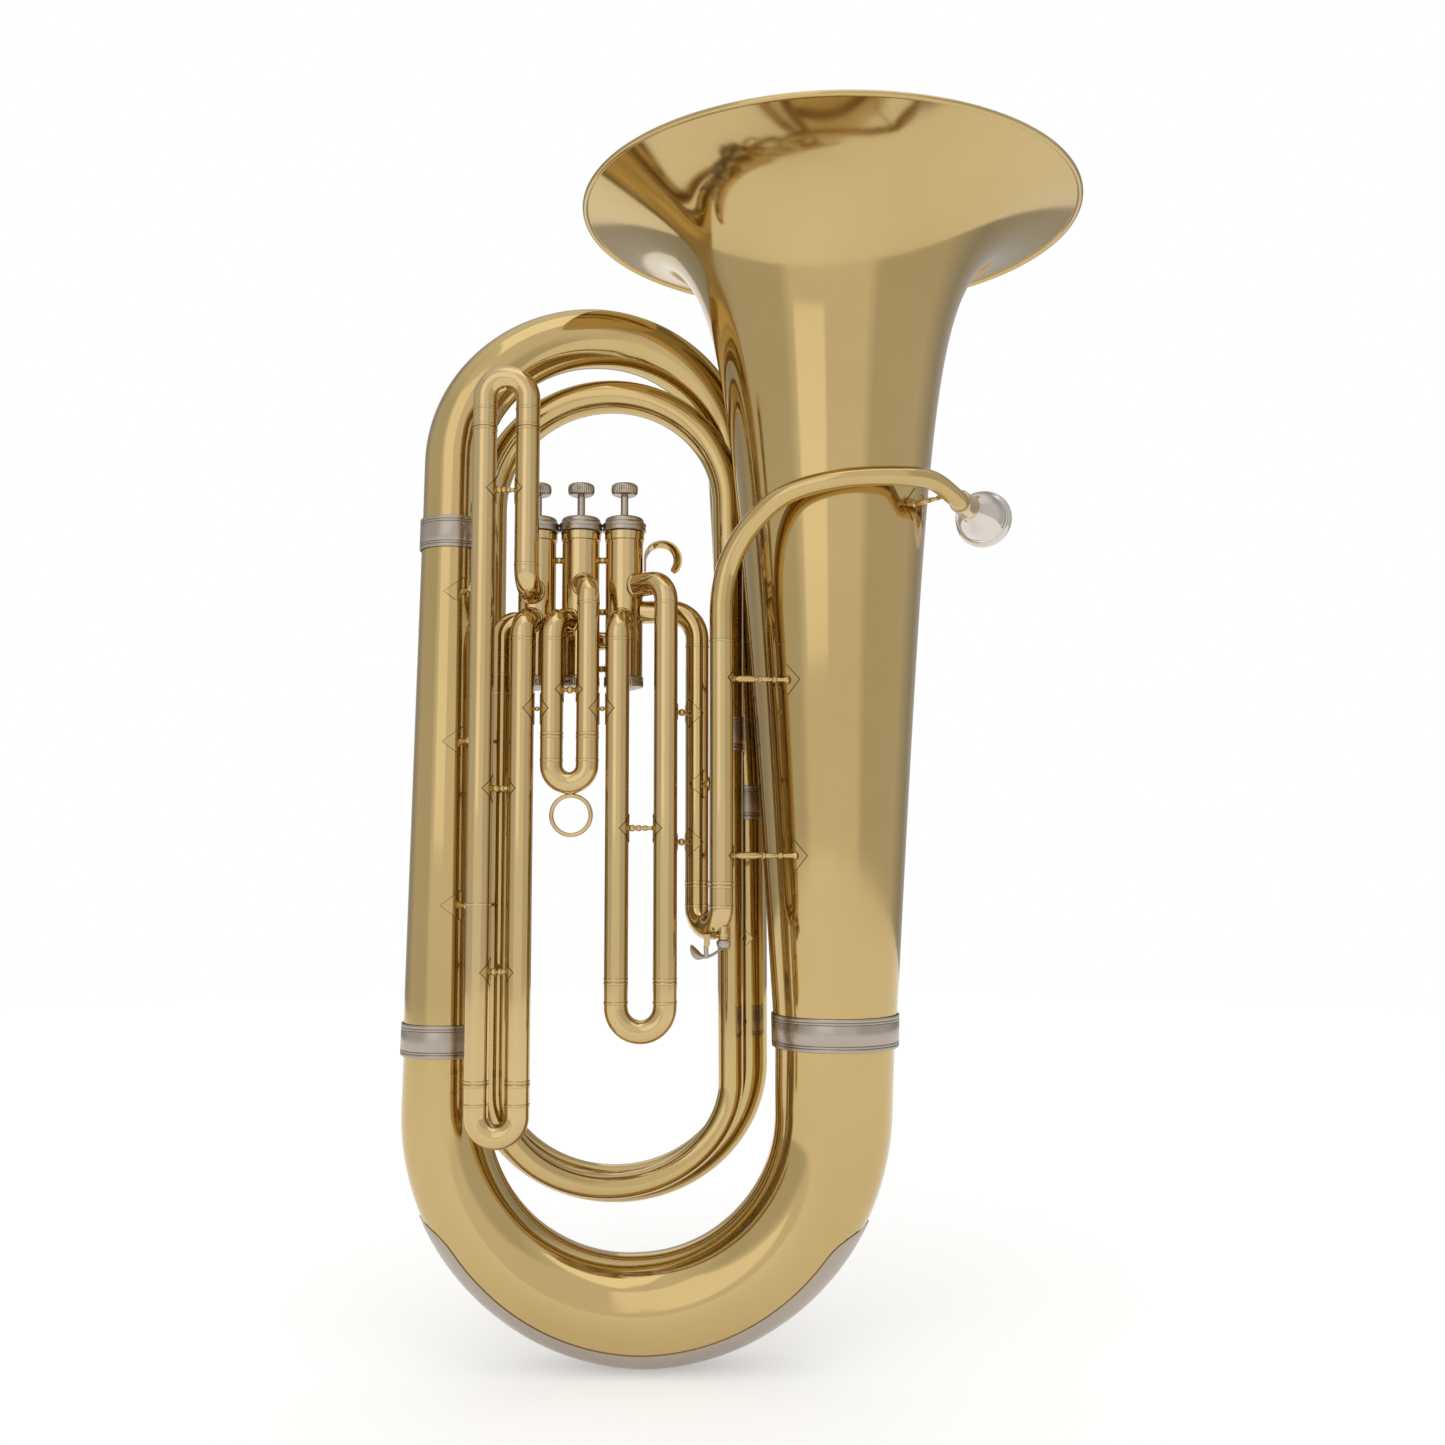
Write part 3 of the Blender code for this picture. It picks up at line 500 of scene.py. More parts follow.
def make_large_branches():
    foot = Vector((BRANCH_X - 0.0006, 0, BRANCH_FOOT_Z))
    top = Vector((BRANCH_X + 0.0008, 0, BRANCH_TOP_Z))
    show_branch("large_branch", [foot, top], [(0, 0.0312), (1, 0.0248)], ROUND)
    right_foot = (0.0826, 0.0545, 0.4215)
    right_top = (0.0702, 0.0680, 0.7000)
    left_top = (-0.1462, 0, 0.6850)
    path = [Vector(right_foot)] + half_bow(right_top, left_top, 0.1070, 72)
    path.append(Vector((BRANCH_X + 0.0008, 0, BRANCH_TOP_Z + 0.0003)))
    stations = [(0, 0.0163), (0.37, 0.0185), (0.50, 0.0205), (0.66, 0.0238), (1, 0.0246)]
    show_branch("large_top_bow", path, stations, ROUND)


def make_inner_branches():
    """Each runs from its first point round half a bow to its last point."""
    rows = (
        ("rear_inner_bow", (-0.1253, 0.0420, 0.2300), (-0.1253, 0.0420, 0.2180),
         (0.0836, 0.0440, 0.2180), -0.0940, 60, (0.0826, 0.0543, 0.4212),
         [(0, 0.0138), (0.3, 0.0143), (0.6, 0.0150), (1, 0.0161)], WALL),
        ("inner_top_bow", (0.0691, 0.0285, 0.4755), (0.0675, 0.0340, 0.6620),
         (-0.1253, 0.0400, 0.6600), 0.0912, 60, (-0.1253, 0.0420, 0.2303),
         [(0, 0.0110), (0.19, 0.0123), (0.36, 0.0133), (0.55, 0.0134), (1, 0.0137)], WALL),
        ("front_inner_bow", (EXIT_X, VALVE_Y, 0.5160), (EXIT_X, -0.0280, 0.2066),
         (0.0698, 0.0180, 0.2066), -0.0742, 56, (0.0691, 0.0283, 0.4750),
         [(0, 0.0087), (0.35, 0.0088), (0.65, 0.0096), (1, 0.0107)], SLIDE_WALL),
    )
    for node, first, start, end, rise, steps, last, stations, wall in rows:
        path = [Vector(first)] + half_bow(start, end, rise, steps) + [Vector(last)]
        show_branch(node, path, stations, MEDIUM, wall)

    path = rounded([(VALVE_X[2] - 0.0136, VALVE_Y, LOWER_PORT_Z),
                    (EXIT_X, VALVE_Y, LOWER_PORT_Z), (EXIT_X, VALVE_Y, 0.5163)], 0.0110)
    shells = Shells()
    add_even_tube(shells, path, 0.0087)
    add_collars(shells, (EXIT_X, VALVE_Y), (0.5020, 0.5163, 0.5300), 0.0087)
    shells.show("valve_exit_elbow_tube", "gold_brass", nodes=["valve_exit_elbow"])


# --------------------------------------------------------------------- valves
def arc(centre_radius, centre_height, radius, start, stop, steps, knurl=0.0):
    """Points of a turned outline along an arc, angles in degrees."""
    points = []
    for i in range(steps + 1):
        a = math.radians(start + (stop - start) * i / steps)
        points.append((centre_radius + radius * math.cos(a),
                       centre_height + radius * math.sin(a), knurl))
    return points


def show_turned(node, ending, slot, base, axis, outline, sides, body="horn", hollow=True, flutes=0):
    """One turned piece in place of a node's solid."""
    shells = Shells()
    add_turned(shells, base, axis, outline, sides, hollow, flutes)
    shells.show(f"{node}_{ending}", slot, body, [node])


def make_valve(valve):
    number = valve + 1
    foot = Vector((VALVE_X[valve], VALVE_Y, 0))
    barrel = [(CASING_RADIUS, CASING_FOOT_Z), (CASING_RADIUS, CASING_TOP_Z - 0.0070),
              (CASING_RADIUS + 0.0007, CASING_TOP_Z - 0.0064),
              (CASING_RADIUS + 0.0009, CASING_TOP_Z - 0.0004),
              (CASING_RADIUS, CASING_TOP_Z), (CASING_BORE, CASING_TOP_Z),
              (CASING_BORE, CASING_FOOT_Z)]
    show_turned(f"valve_casing_{number}", "barrel", "gold_brass", foot, Z_AXIS, barrel, MEDIUM)

    top_cap = [(0.0130, 0.6253), (0.0158, 0.6253), (0.0164, 0.6258), (0.0164, 0.6283),
               (0.0160, 0.6286), (0.0160, 0.6291)]
    top_cap += arc(0.0150, 0.6305, 0.0017, -40, 68, 8)
    top_cap += [(0.0150, 0.6324), (0.0147, 0.6332)]
    top_cap += arc(0.0118, 0.6335, 0.0030, 0, 88, 8)
    top_cap += [(0.0060, 0.6368), (0.0040, 0.6368), (0.0036, 0.6364), (0.0036, 0.6350),
                (0.0122, 0.6340), (0.0130, 0.6320)]
    show_turned(f"valve_top_cap_{number}", "turned", "nickel_silver", foot, Z_AXIS, top_cap, MEDIUM)

    knurl = 0.00016
    bottom_cap = [(0.0020, 0.5052), (0.0060, 0.5046), (0.0098, 0.5052), (0.0112, 0.5060),
                  (0.0128, 0.5062), (0.0143, 0.5066), (0.0148, 0.5074, knurl),
                  (0.0148, 0.5108, knurl), (0.0146, 0.5113), (0.0149, 0.5118),
                  (0.0149, 0.5138), (0.0144, 0.5143), (0.0134, 0.5143), (0.0134, 0.5080),
                  (0.0020, 0.5080)]
    show_turned(f"valve_bottom_cap_{number}", "turned", "nickel_silver", foot, Z_AXIS,
                bottom_cap, 192, flutes=48)

    button = [(0.0029, PISTON_TOP_Z + 0.0003), (0.0029, 0.6529), (0.0034, 0.6534),
              (0.0070, 0.6537), (0.0084, 0.6543, knurl), (0.0094, 0.6554, knurl),
              (0.0099, 0.6568, knurl), (0.0100, 0.6592, knurl), (0.0097, 0.6611, knurl),
              (0.0090, 0.6622), (0.0080, 0.6628), (0.0070, 0.6627), (0.0062, 0.6621),
              (0.0030, 0.6618)]
    show_turned(f"finger_button_{number}", "turned", "nickel_silver", foot, Z_AXIS, button, 160,
                body=f"valve_{number}", hollow=False, flutes=40)
    make_spring(number, foot)


def make_spring(number, foot):
    """The return spring: a coil of wire from the bottom cap up to the piston's foot."""
    turns, per_turn, wire, coil_radius = 4.5, 24, 0.0005, 0.0080
    low, high = 0.5080 + 0.0003 + wire, PISTON_FOOT_Z - 0.0003 - wire
    count = int(turns * per_turn)
    path = []
    for i in range(count + 1):
        a = 2 * math.pi * i / per_turn
        path.append(foot + Vector((coil_radius * math.cos(a), coil_radius * math.sin(a),
                                   low + (high - low) * i / count)))
    directions, across = normals(path, Z_AXIS)
    shells = Shells()
    shells.skin([circle(p, d, n, wire, 8) for p, d, n in zip(path, directions, across)], False)
    piece = shells.show(f"piston_spring_{number}_coil", "spring_steel",
                        nodes=[f"piston_spring_{number}"])
    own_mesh(piece)


def make_valve_links():
    for number, (first, second) in enumerate(((0, 1), (1, 2)), start=1):
        near, far = VALVE_X[first] - 0.0138, VALVE_X[second] + 0.0138
        shells = Shells()
        add_even_tube(shells, [Vector((near, VALVE_Y, LINK_Z)), Vector((far, VALVE_Y, LINK_Z))],
                      0.0070, wall=0.0008)
        middle = (near + far) / 2
        for z in (0.6037, 0.5640, 0.5205):
            add_turned(shells, (near, VALVE_Y, z), -X_AXIS,
                       [(0.0034, 0), (0.0026, 0.0009), (0.0014, 0.0020), (0.0012, 0.0024),
                        (0.0012, near - far - 0.0024), (0.0014, near - far - 0.0020),
                        (0.0026, near - far - 0.0009), (0.0034, near - far)], 24, hollow=False)
            add_ball(shells, (middle, VALVE_Y, z), 0.0026)
        shells.show(f"valve_link_{number}{number + 1}_tube", "gold_brass",
                    nodes=[f"valve_link_{number}{number + 1}"])


def make_finger_hook():
    """A curved strip that twists to show its face, with a rounded tip and a foot."""
    centre = Vector((0.0167, VALVE_Y, 0.6040))
    radius, width, thick, steps = 0.0118, 0.0100, 0.0014, 44
    rings = []
    for i in range(steps + 1):
        angle = math.radians(178 - 226 * i / steps)
        out = Vector((math.cos(angle), 0, math.sin(angle)))
        tip = (steps - i) / 5
        half = width / 2 * (math.sqrt(1 - (1 - tip) ** 2 * 0.8) if tip < 1 else 1.0)
        ease = thick * 0.3
        lean = 0.90 * i / steps
        breadth = (Y_AXIS - out * lean).normalized()
        section = ((0, -half + ease), (ease, -half), (thick - ease, -half), (thick, -half + ease),
                   (thick, half - ease), (thick - ease, half), (ease, half), (0, half - ease))
        rings.append([centre + out * (radius + dr) + breadth * dy for dr, dy in section])
    root = [[corner - Z_AXIS * drop for corner in rings[0]] for drop in (0.0100, 0.0050)]
    shells = Shells()
    shells.skin(root + rings, cyclic=False)
    shells.show("finger_hook_strip", "gold_brass", nodes=["finger_hook"])


# --------------------------------------------------------------------- slides
def port_direction(valve, leg_x):
    return Vector((leg_x - VALVE_X[valve], SLIDE_Y - VALVE_Y, 0)).normalized()


def show_leg(node, valve, leg, far_z, radius):
    """An outer slide tube with its elbow, its sleeve line and its open end's collar."""
    leg_x, port_z = leg
    direction = port_direction(valve, leg_x)
    axis = Vector((VALVE_X[valve], VALVE_Y, port_z))
    path = rounded([(leg_x, SLIDE_Y, far_z), (leg_x, SLIDE_Y, port_z),
                    axis + direction * 0.0137], 0.0148)
    shells = Shells()
    add_even_tube(shells, path, radius)
    away = math.copysign(1, far_z - port_z)
    add_collars(shells, (leg_x, SLIDE_Y), (port_z + away * 0.0166, far_z - away * 0.0012), radius)
    saddle = axis + direction * (CASING_RADIUS + 0.0004)
    add_turned(shells, saddle, direction,
               [(radius - 0.0002, -0.0010), (radius + 0.0012, -0.0010), (radius + 0.0011, -0.0002),
                (radius + 0.0005, 0.0005), (radius, 0.0009), (radius - 0.0002, 0.0009)], FINE)
    # a dark line round the saddle: solder, with painted shade at its edge
    add_line(saddle, direction, radius + 0.0008)
    shells.show(node + "_tube", "gold_brass", nodes=[node])


def show_slide(node, body, left, right, joint_z, spring_z, radius,
               reach=INNER_LEG_LENGTH, straight=0.0035):
    """A tuning slide: inner legs, two stop sleeves and a half-round bow."""
    away = 1.0 if joint_z > spring_z else -1.0
    left, right = Vector(left), Vector(right)
    stop_z = joint_z - away * 0.0003

    def at(point, z):
        return Vector((point.x, point.y, z))

    leg = radius - SLIDE_WALL - SLIDE_CLEARANCE
    bow = half_bow(at(left, spring_z), at(right, spring_z), -away * (right - left).length / 2, 36)
    path = [at(left, stop_z + away * reach), at(left, stop_z), at(left, stop_z)]
    path += bow
    path += [at(right, stop_z), at(right, stop_z), at(right, stop_z + away * reach)]
    outer = [leg, leg] + [radius] * (len(path) - 4) + [leg, leg]
    shells = Shells()
    add_tube(shells, path, outer, [leg - SLIDE_WALL] * len(path), FINE)
    for point in (left, right):
        heights = (stop_z - away * 0.0012, spring_z + away * straight)
        add_collars(shells, point, heights, radius, body)
    if node == "main_tuning_slide":
        add_water_key_seat(shells)
    shells.show(node + "_tube", "gold_brass", body=body, nodes=[node])


def make_valve_slides():
    """One slide on each of the first two valves, and two that share the third's long leg."""
    def place(x):
        return (x, SLIDE_Y, 0)

    rows = (("first_slide", SLIDE_RADIUS, FIRST_JOINT_Z, 0.2708, INNER_LEG_LENGTH),
            ("second_slide", SECOND_SLIDE_RADIUS, SECOND_JOINT_Z, 0.4462, 0.065))
    for valve, (body, radius, joint_z, spring_z, reach) in enumerate(rows):
        left, right = LEGS[valve]
        name = f"valve{valve + 1}"
        show_leg(name + "_leg_left", valve, left, joint_z, radius)
        show_leg(name + "_leg_right", valve, right, joint_z, radius)
        show_slide(name + "_slide", body, place(left[0]), place(right[0]), joint_z, spring_z,
                   radius, reach)
    make_pull_ring((LEGS[1][0][0] + LEGS[1][1][0]) / 2)

    lower, upper = LEGS[2]
    show_leg("valve3_leg_lower", 2, lower, LOW_JOINT_Z, THIRD_SLIDE_RADIUS)
    show_leg("valve3_leg_upper", 2, upper, HIGH_JOINT_Z, THIRD_SLIDE_RADIUS)
    shells = Shells()
    ends = [Vector((LONG_LEG_X, SLIDE_Y, z)) for z in (LOW_JOINT_Z, HIGH_JOINT_Z)]
    add_even_tube(shells, ends, THIRD_SLIDE_RADIUS)
    add_collars(shells, ends[0], (LOW_JOINT_Z + 0.0012, HIGH_JOINT_Z - 0.0012, 0.3450),
                THIRD_SLIDE_RADIUS)
    shells.show("valve3_long_leg_tube", "gold_brass", nodes=["valve3_long_leg"])
    show_slide("valve3_lower_slide", "third_lower_slide", place(LONG_LEG_X), place(lower[0]),
               LOW_JOINT_Z, 0.1938, THIRD_SLIDE_RADIUS, straight=0.0082)
    show_slide("valve3_upper_slide", "third_upper_slide", place(LONG_LEG_X), place(upper[0]),
               HIGH_JOINT_Z, 0.7205, THIRD_SLIDE_RADIUS, 0.090, 0.0080)


def make_pull_ring(x):
    """A round wire ring, with the small stem that holds it to the slide's bow."""
    centre = Vector((x + 0.0016, SLIDE_Y, 0.4094))
    major, minor, steps = 0.0144, 0.0016, 72
    rings = []
    for i in range(steps):
        angle = 2 * math.pi * i / steps
        out = Vector((math.cos(angle), 0, math.sin(angle)))
        along = Vector((-math.sin(angle), 0, math.cos(angle)))
        rings.append(circle(centre + major * out, along, Y_AXIS, minor, 16))
    shells = Shells()
    shells.skin(rings, cyclic=True)
    add_turned(shells, centre + Z_AXIS * (major + 0.0006), Z_AXIS,
               [(0.0016, 0), (0.0020, 0.0006), (0.0026, 0.0014), (0.0034, 0.0024)], 24, False)
    shells.show("valve2_pull_ring_wire", "gold_brass", body="second_slide",
                nodes=["valve2_pull_ring"])


# ------------------------------------------------- leadpipe and its tuning slide
def make_leadpipe():
    shoulder = [(0.0624, -0.0600, PIPE_FOOT_Z + 0.0003), (0.0628, -0.0603, 0.5700),
                (0.0688, -0.0634, 0.5970), (0.0836, -0.0706, 0.6215),
                (0.1088, -0.0820, 0.6420), (0.1480, -0.0902, 0.6520),
                (0.1921, -0.0890, 0.6546), (0.2170, -0.0790, 0.6535)]
    tail = RECEIVER_END - RECEIVER_AXIS * 0.0260
    route = [Vector(p) for p in shoulder] + [tail - RECEIVER_AXIS * 0.0120, tail]
    path = smooth(route, 10)
    outer = taper(path, [(0, 0.0087), (0.18, 0.0085), (0.45, 0.0073), (1, 0.0069)])
    show_tube("leadpipe", path, outer, FINE, SLIDE_WALL)

    outline = [(0.0070, -0.0012), (0.0078, -0.0012), (0.0084, -0.0006), (0.0086, 0.0004),
               (0.0086, 0.0034), (0.0083, 0.0037), (0.0086, 0.0040), (0.0086, 0.0200),
               (0.0083, 0.0203), (0.0086, 0.0206), (0.0087, 0.0230)]
    outline += arc(0.0084, 0.0247, 0.0008, -50, 80, 8)
    outline += [(0.0072, 0.0257), (0.0068, 0.0254), (0.0068, 0.0040)]
    show_turned("mouthpiece_receiver", "turned", "gold_brass", tail, RECEIVER_AXIS, outline, MEDIUM)


def make_mouthpiece():
    """Shank, throat, cup and rim turned from one bar; the cup faces the player."""
    depth = 0.0180
    outline = [(0.0046, 0.0000), (0.0056, 0.0000), (0.0058, 0.0002), (0.0064, depth),
               (0.0066, 0.0268), (0.0070, 0.0276), (0.0078, 0.0284), (0.0080, 0.0294),
               (0.0076, 0.0302), (0.0080, 0.0312), (0.0092, 0.0326), (0.0104, 0.0346)]
    outline += [(0.0122, 0.0374), (0.0142, 0.0404), (0.0160, 0.0438), (0.0175, 0.0480),
                (0.0186, 0.0526), (0.0191, 0.0549), (0.0196, 0.0553), (0.0197, 0.0561),
                (0.0194, 0.0566), (0.0200, 0.0604), (0.0206, 0.0608), (0.0207, 0.0617),
                (0.0204, 0.0622), (0.0206, 0.0640), (0.0212, 0.0648), (0.0220, 0.0658),
                (0.0224, 0.0674)]
    outline += arc(0.0199, 0.0690, 0.0026, 0, 90, 8)
    outline += arc(0.0187, 0.0686, 0.0030, 100, 180, 8)
    outline += [(0.0155, 0.0650), (0.0152, 0.0610), (0.0144, 0.0560), (0.0130, 0.0510),
                (0.0110, 0.0470), (0.0084, 0.0436), (0.0058, 0.0410), (0.0042, 0.0390)]
    show_turned("mouthpiece", "turned", "silver_plate", RECEIVER_END - RECEIVER_AXIS * depth,
                RECEIVER_AXIS, outline, ROUND, body="mouthpiece")


def make_main_slide():
    foot, top = MAIN_JOINT_Z, PIPE_FOOT_Z
    shells = Shells()
    add_even_tube(shells, [Vector((PIPE_LEG.x, PIPE_LEG.y, foot)),
                           Vector((PIPE_LEG.x, PIPE_LEG.y, top))], SLIDE_RADIUS)
    add_collars(shells, PIPE_LEG, (foot + 0.0012, top - 0.0008), SLIDE_RADIUS)
    shells.show("leadpipe_leg_tube", "gold_brass")

    path = rounded([(INLET_LEG.x, INLET_LEG.y, foot), (INLET_LEG.x, INLET_LEG.y, INLET_Z),
                    (VALVE_X[0] + 0.0136, VALVE_Y, INLET_Z)], 0.0215, 28)
    shells = Shells()
    add_even_tube(shells, path, SLIDE_RADIUS)
    add_collars(shells, INLET_LEG, (foot + 0.0012, INLET_Z - 0.0270), SLIDE_RADIUS)
    shells.show("valve_inlet_leg_tube", "gold_brass", nodes=["valve_inlet_leg"])
    show_slide("main_tuning_slide", "main_slide", INLET_LEG, PIPE_LEG, foot, 0.3425,
               SLIDE_RADIUS, reach=0.115, straight=0.0006)


KEY_CUP_FOOT, KEY_CUP_TOP = -0.0024, 0.0030     # above the key's pivot


def add_water_key_seat(shells):
    """The drain nipple under the bow and the saddle that carries the key's pivot."""
    nipple = KEY_PIVOT + Vector((0.0120, 0, KEY_CUP_TOP + 0.0003))
    add_turned(shells, nipple, Z_AXIS,
               [(0.0024, 0.0), (0.0033, 0.0), (0.0038, 0.0004), (0.0038, 0.0020),
                (0.0036, 0.0026), (0.0038, 0.0032), (0.0038, 0.0042), (0.0031, 0.0052),
                (0.0031, 0.0100), (0.0024, 0.0100)], 32)
    for side in (-1, 1):
        post = [KEY_PIVOT + Vector((0, side * 0.0034, 0.0)), KEY_PIVOT + Vector((0, side * 0.0034, 0.0075))]
        rings = []
        for share in (-0.25, 0.0, 0.5, 1.0):
            centre = post[0].lerp(post[1], share)
            half = 0.0022 if share >= 0 else 0.0012
            rings.append([centre + Vector((dx, dy, 0)) for dx, dy in
                          ((-half, -0.0005), (half, -0.0005), (half, 0.0005), (-half, 0.0005))])
        shells.skin(rings, cyclic=False)
    add_turned(shells, KEY_PIVOT + Vector((0, -0.0046, 0.0007)), Y_AXIS,
               [(0.0008, 0.0), (0.0012, 0.0002), (0.0012, 0.0007), (0.0007, 0.0008),
                (0.0007, 0.0084), (0.0012, 0.0085), (0.0012, 0.0090), (0.0008, 0.0092)], 20, False)


def make_water_key():
    """The drain lever with its cork cup, and the cork in it."""
    half, thick, steps = 0.0022, 0.0024, 6
    # along the lever: sideways, up, half width, lean of the face towards the front
    outline = ((-0.0122, -0.0028, 0.0018, 1.0), (-0.0112, -0.0038, 0.0042, 1.0),
               (-0.0088, -0.0060, 0.0052, 0.9), (-0.0056, -0.0080, 0.0044, 0.7),
               (-0.0024, -0.0088, half, 0.3), (0.0010, -0.0086, half, 0.1),
               (0.0050, -0.0068, half, 0.0), (0.0085, -0.0044, half, 0.0),
               (0.0115, -0.0022, half, 0.0))
    route = smooth([point[:3] for point in outline], steps)
    leans = smooth([(point[3], 0, 0) for point in outline], steps)
    rings = []
    for (dx, dz, width), lean in zip(route, leans):
        centre = KEY_PIVOT + Vector((dx, 0, dz))
        breadth = Vector((0, math.cos(lean.x), math.sin(lean.x)))
        depth = Vector((0, -math.sin(lean.x), math.cos(lean.x)))
        turns = [2 * math.pi * i / 12 for i in range(12)]
        rings.append([centre + breadth * (width * math.cos(a)) + depth * (thick / 2 * math.sin(a))
                      for a in turns])
    shells = Shells()
    shells.skin(rings, cyclic=False)
    strap = []
    for dz, wide in ((-0.0086, 0.0018), (-0.0050, 0.0016), (-0.0016, 0.0018), (0.0012, 0.0014)):
        centre = KEY_PIVOT + Vector((-0.0006, 0, dz))
        strap.append([centre + Vector((dx * wide, dy * 0.0022, 0)) for dx, dy in
                      ((-1, -0.7), (-0.7, -1), (0.7, -1), (1, -0.7),
                       (1, 0.7), (0.7, 1), (-0.7, 1), (-1, 0.7))])
    shells.skin(strap, cyclic=False)
    add_turned(shells, KEY_PIVOT + Vector((0.0120, 0, 0)), Z_AXIS,
               [(0.0030, KEY_CUP_FOOT), (0.0044, KEY_CUP_FOOT + 0.0004),
                (0.0050, KEY_CUP_FOOT + 0.0014), (0.0052, KEY_CUP_TOP - 0.0008),
                (0.0050, KEY_CUP_TOP - 0.0003), (0.0044, KEY_CUP_TOP - 0.0003),
                (0.0043, KEY_CUP_TOP - 0.0022), (0.0020, KEY_CUP_TOP - 0.0024)],
               36, hollow=False)
    shells.show("water_key_lever_forged", "nickel_silver", body="water_key",
                nodes=["water_key_lever"])
    pad = [(0.0036, 0.0), (0.0041, 0.0003), (0.0041, 0.0018), (0.0036, 0.0022), (0.0016, 0.0023)]
    show_turned("water_key_cork", "pad", "cork", KEY_PIVOT + Vector((0.0120, 0, KEY_CUP_TOP - 0.0021)),
                Z_AXIS, pad, 32, body="water_key", hollow=False)


# --------------------------------------------------------------------- braces
def add_foot(shells, centre, along, facing, radius, half_height, half_width):
    """A diamond of sheet brass soldered round a tube, facing the brace it carries."""
    along, facing = Vector(along).normalized(), Vector(facing).normalized()
    side = along.cross(facing)
    add_diamond(shells, centre, along, facing, side, radius, half_height, half_width, 0.00060)
    # a slightly larger dark diamond under the plate: the solder at its edge, and painted shade along it
    grow = 0.0006
    add_diamond(lines_of("horn"), centre, along, facing, side, radius, half_height + grow,
                half_width + grow, 0.00022)


def add_diamond(shells, centre, along, facing, side, radius, half_height, half_width, thick):
    """A diamond-shaped plate wrapped round a tube."""
    steps, cuts = 14, 10
    rings = []
    for i in range(steps + 1):
        u = -0.985 + 1.97 * i / steps
        reach = half_width * (1 - abs(u)) / radius
        layer = []
        for r, way in ((radius + thick, 1), (radius - 0.0003, -1)):
            for k in range(cuts + 1):
                angle = way * reach * (-1 + 2 * k / cuts)
                layer.append(centre + along * half_height * u
                             + r * (math.cos(angle) * facing + math.sin(angle) * side))
        rings.append(layer)
    shells.skin(rings, cyclic=False)


def add_rod(shells, start, end, rod):
    """A turned rod: a barrel, a disc, a tapering stem with a bead, and a foot at each end."""
    start, end = Vector(start), Vector(end)
    length = (end - start).length
    shape = [(1.5, 0.0), (1.35, 0.02), (0.75, 0.05), (0.75, 0.08), (1.05, 0.11), (1.18, 0.15),
             (1.22, 0.25), (1.18, 0.35), (1.05, 0.40), (0.72, 0.43), (0.72, 0.45),
             (1.20, 0.465), (1.32, 0.485), (1.20, 0.505), (0.75, 0.52), (1.0, 0.55),
             (0.95, 0.62), (0.70, 0.70), (0.62, 0.72), (1.05, 0.735), (1.22, 0.76),
             (1.05, 0.785), (0.62, 0.80), (0.85, 0.83), (0.80, 0.90), (0.95, 0.95),
             (1.5, 0.985), (1.7, 1.0)]
    outline = [(rod * wide, length * share) for wide, share in shape]
    add_turned(shells, start, end - start, outline, 24, hollow=False)


def add_beaded_rod(shells, start, end, bead=0.0026, neck=0.0015):
    """A short rod turned into a row of beads, fading to a plain stem at one end."""
    start, end = Vector(start), Vector(end)
    length = (end - start).length
    count = max(2, round(length * 0.8 / 0.0042))
    pitch = length * 0.8 / count
    outline = [(neck * 1.4, 0.0)]
    for k in range(count):
        middle, wide = pitch * (k + 0.5), bead * (1 - 0.07 * k)
        for step in range(-4, 5):
            offset = pitch / 2 * step / 4
            rise = math.sqrt(max(neck ** 2, wide ** 2 - offset ** 2))
            outline.append((rise, middle + offset))
    outline += [(neck, length * 0.84), (neck, length * 0.93), (neck * 1.7, length)]
    add_turned(shells, start, end - start, outline, 24, hollow=False)


def add_ball_link(shells, start, end):
    """A short link: one ball between two flared feet."""
    start, end = Vector(start), Vector(end)
    length = (end - start).length
    radius = min(0.0028, length * 0.38)
    outline = [(radius, 0.0), (radius * 0.55, length * 0.16)]
    for k in range(9):
        a = math.radians(25 + 130 * k / 8)
        outline.append((radius * math.sin(a), length * 0.5 - radius * math.cos(a)))
    outline += [(radius * 0.55, length * 0.84), (radius, length)]
    add_turned(shells, start, end - start, outline, 24, hollow=False)


def add_tie(shells, left, right, z, left_radius, right_radius, style, half_height=0.0102):
    """A brace between two upright tubes, with a diamond foot on each."""
    left, right = Vector((left.x, left.y, z)), Vector((right.x, right.y, z))
    across = (right - left).normalized()
    start, end = left + across * left_radius, right - across * right_radius
    if style == "rod":
        add_beaded_rod(shells, start, end)
    else:
        add_ball_link(shells, start, end)
    for centre, way, radius in ((left, across, left_radius), (right, -across, right_radius)):
        add_foot(shells, centre, Z_AXIS, way, radius, half_height, min(half_height * 1.1, radius * 1.35))


def leg_centre(valve, side):
    return Vector((LEGS[valve][side][0], SLIDE_Y, 0))


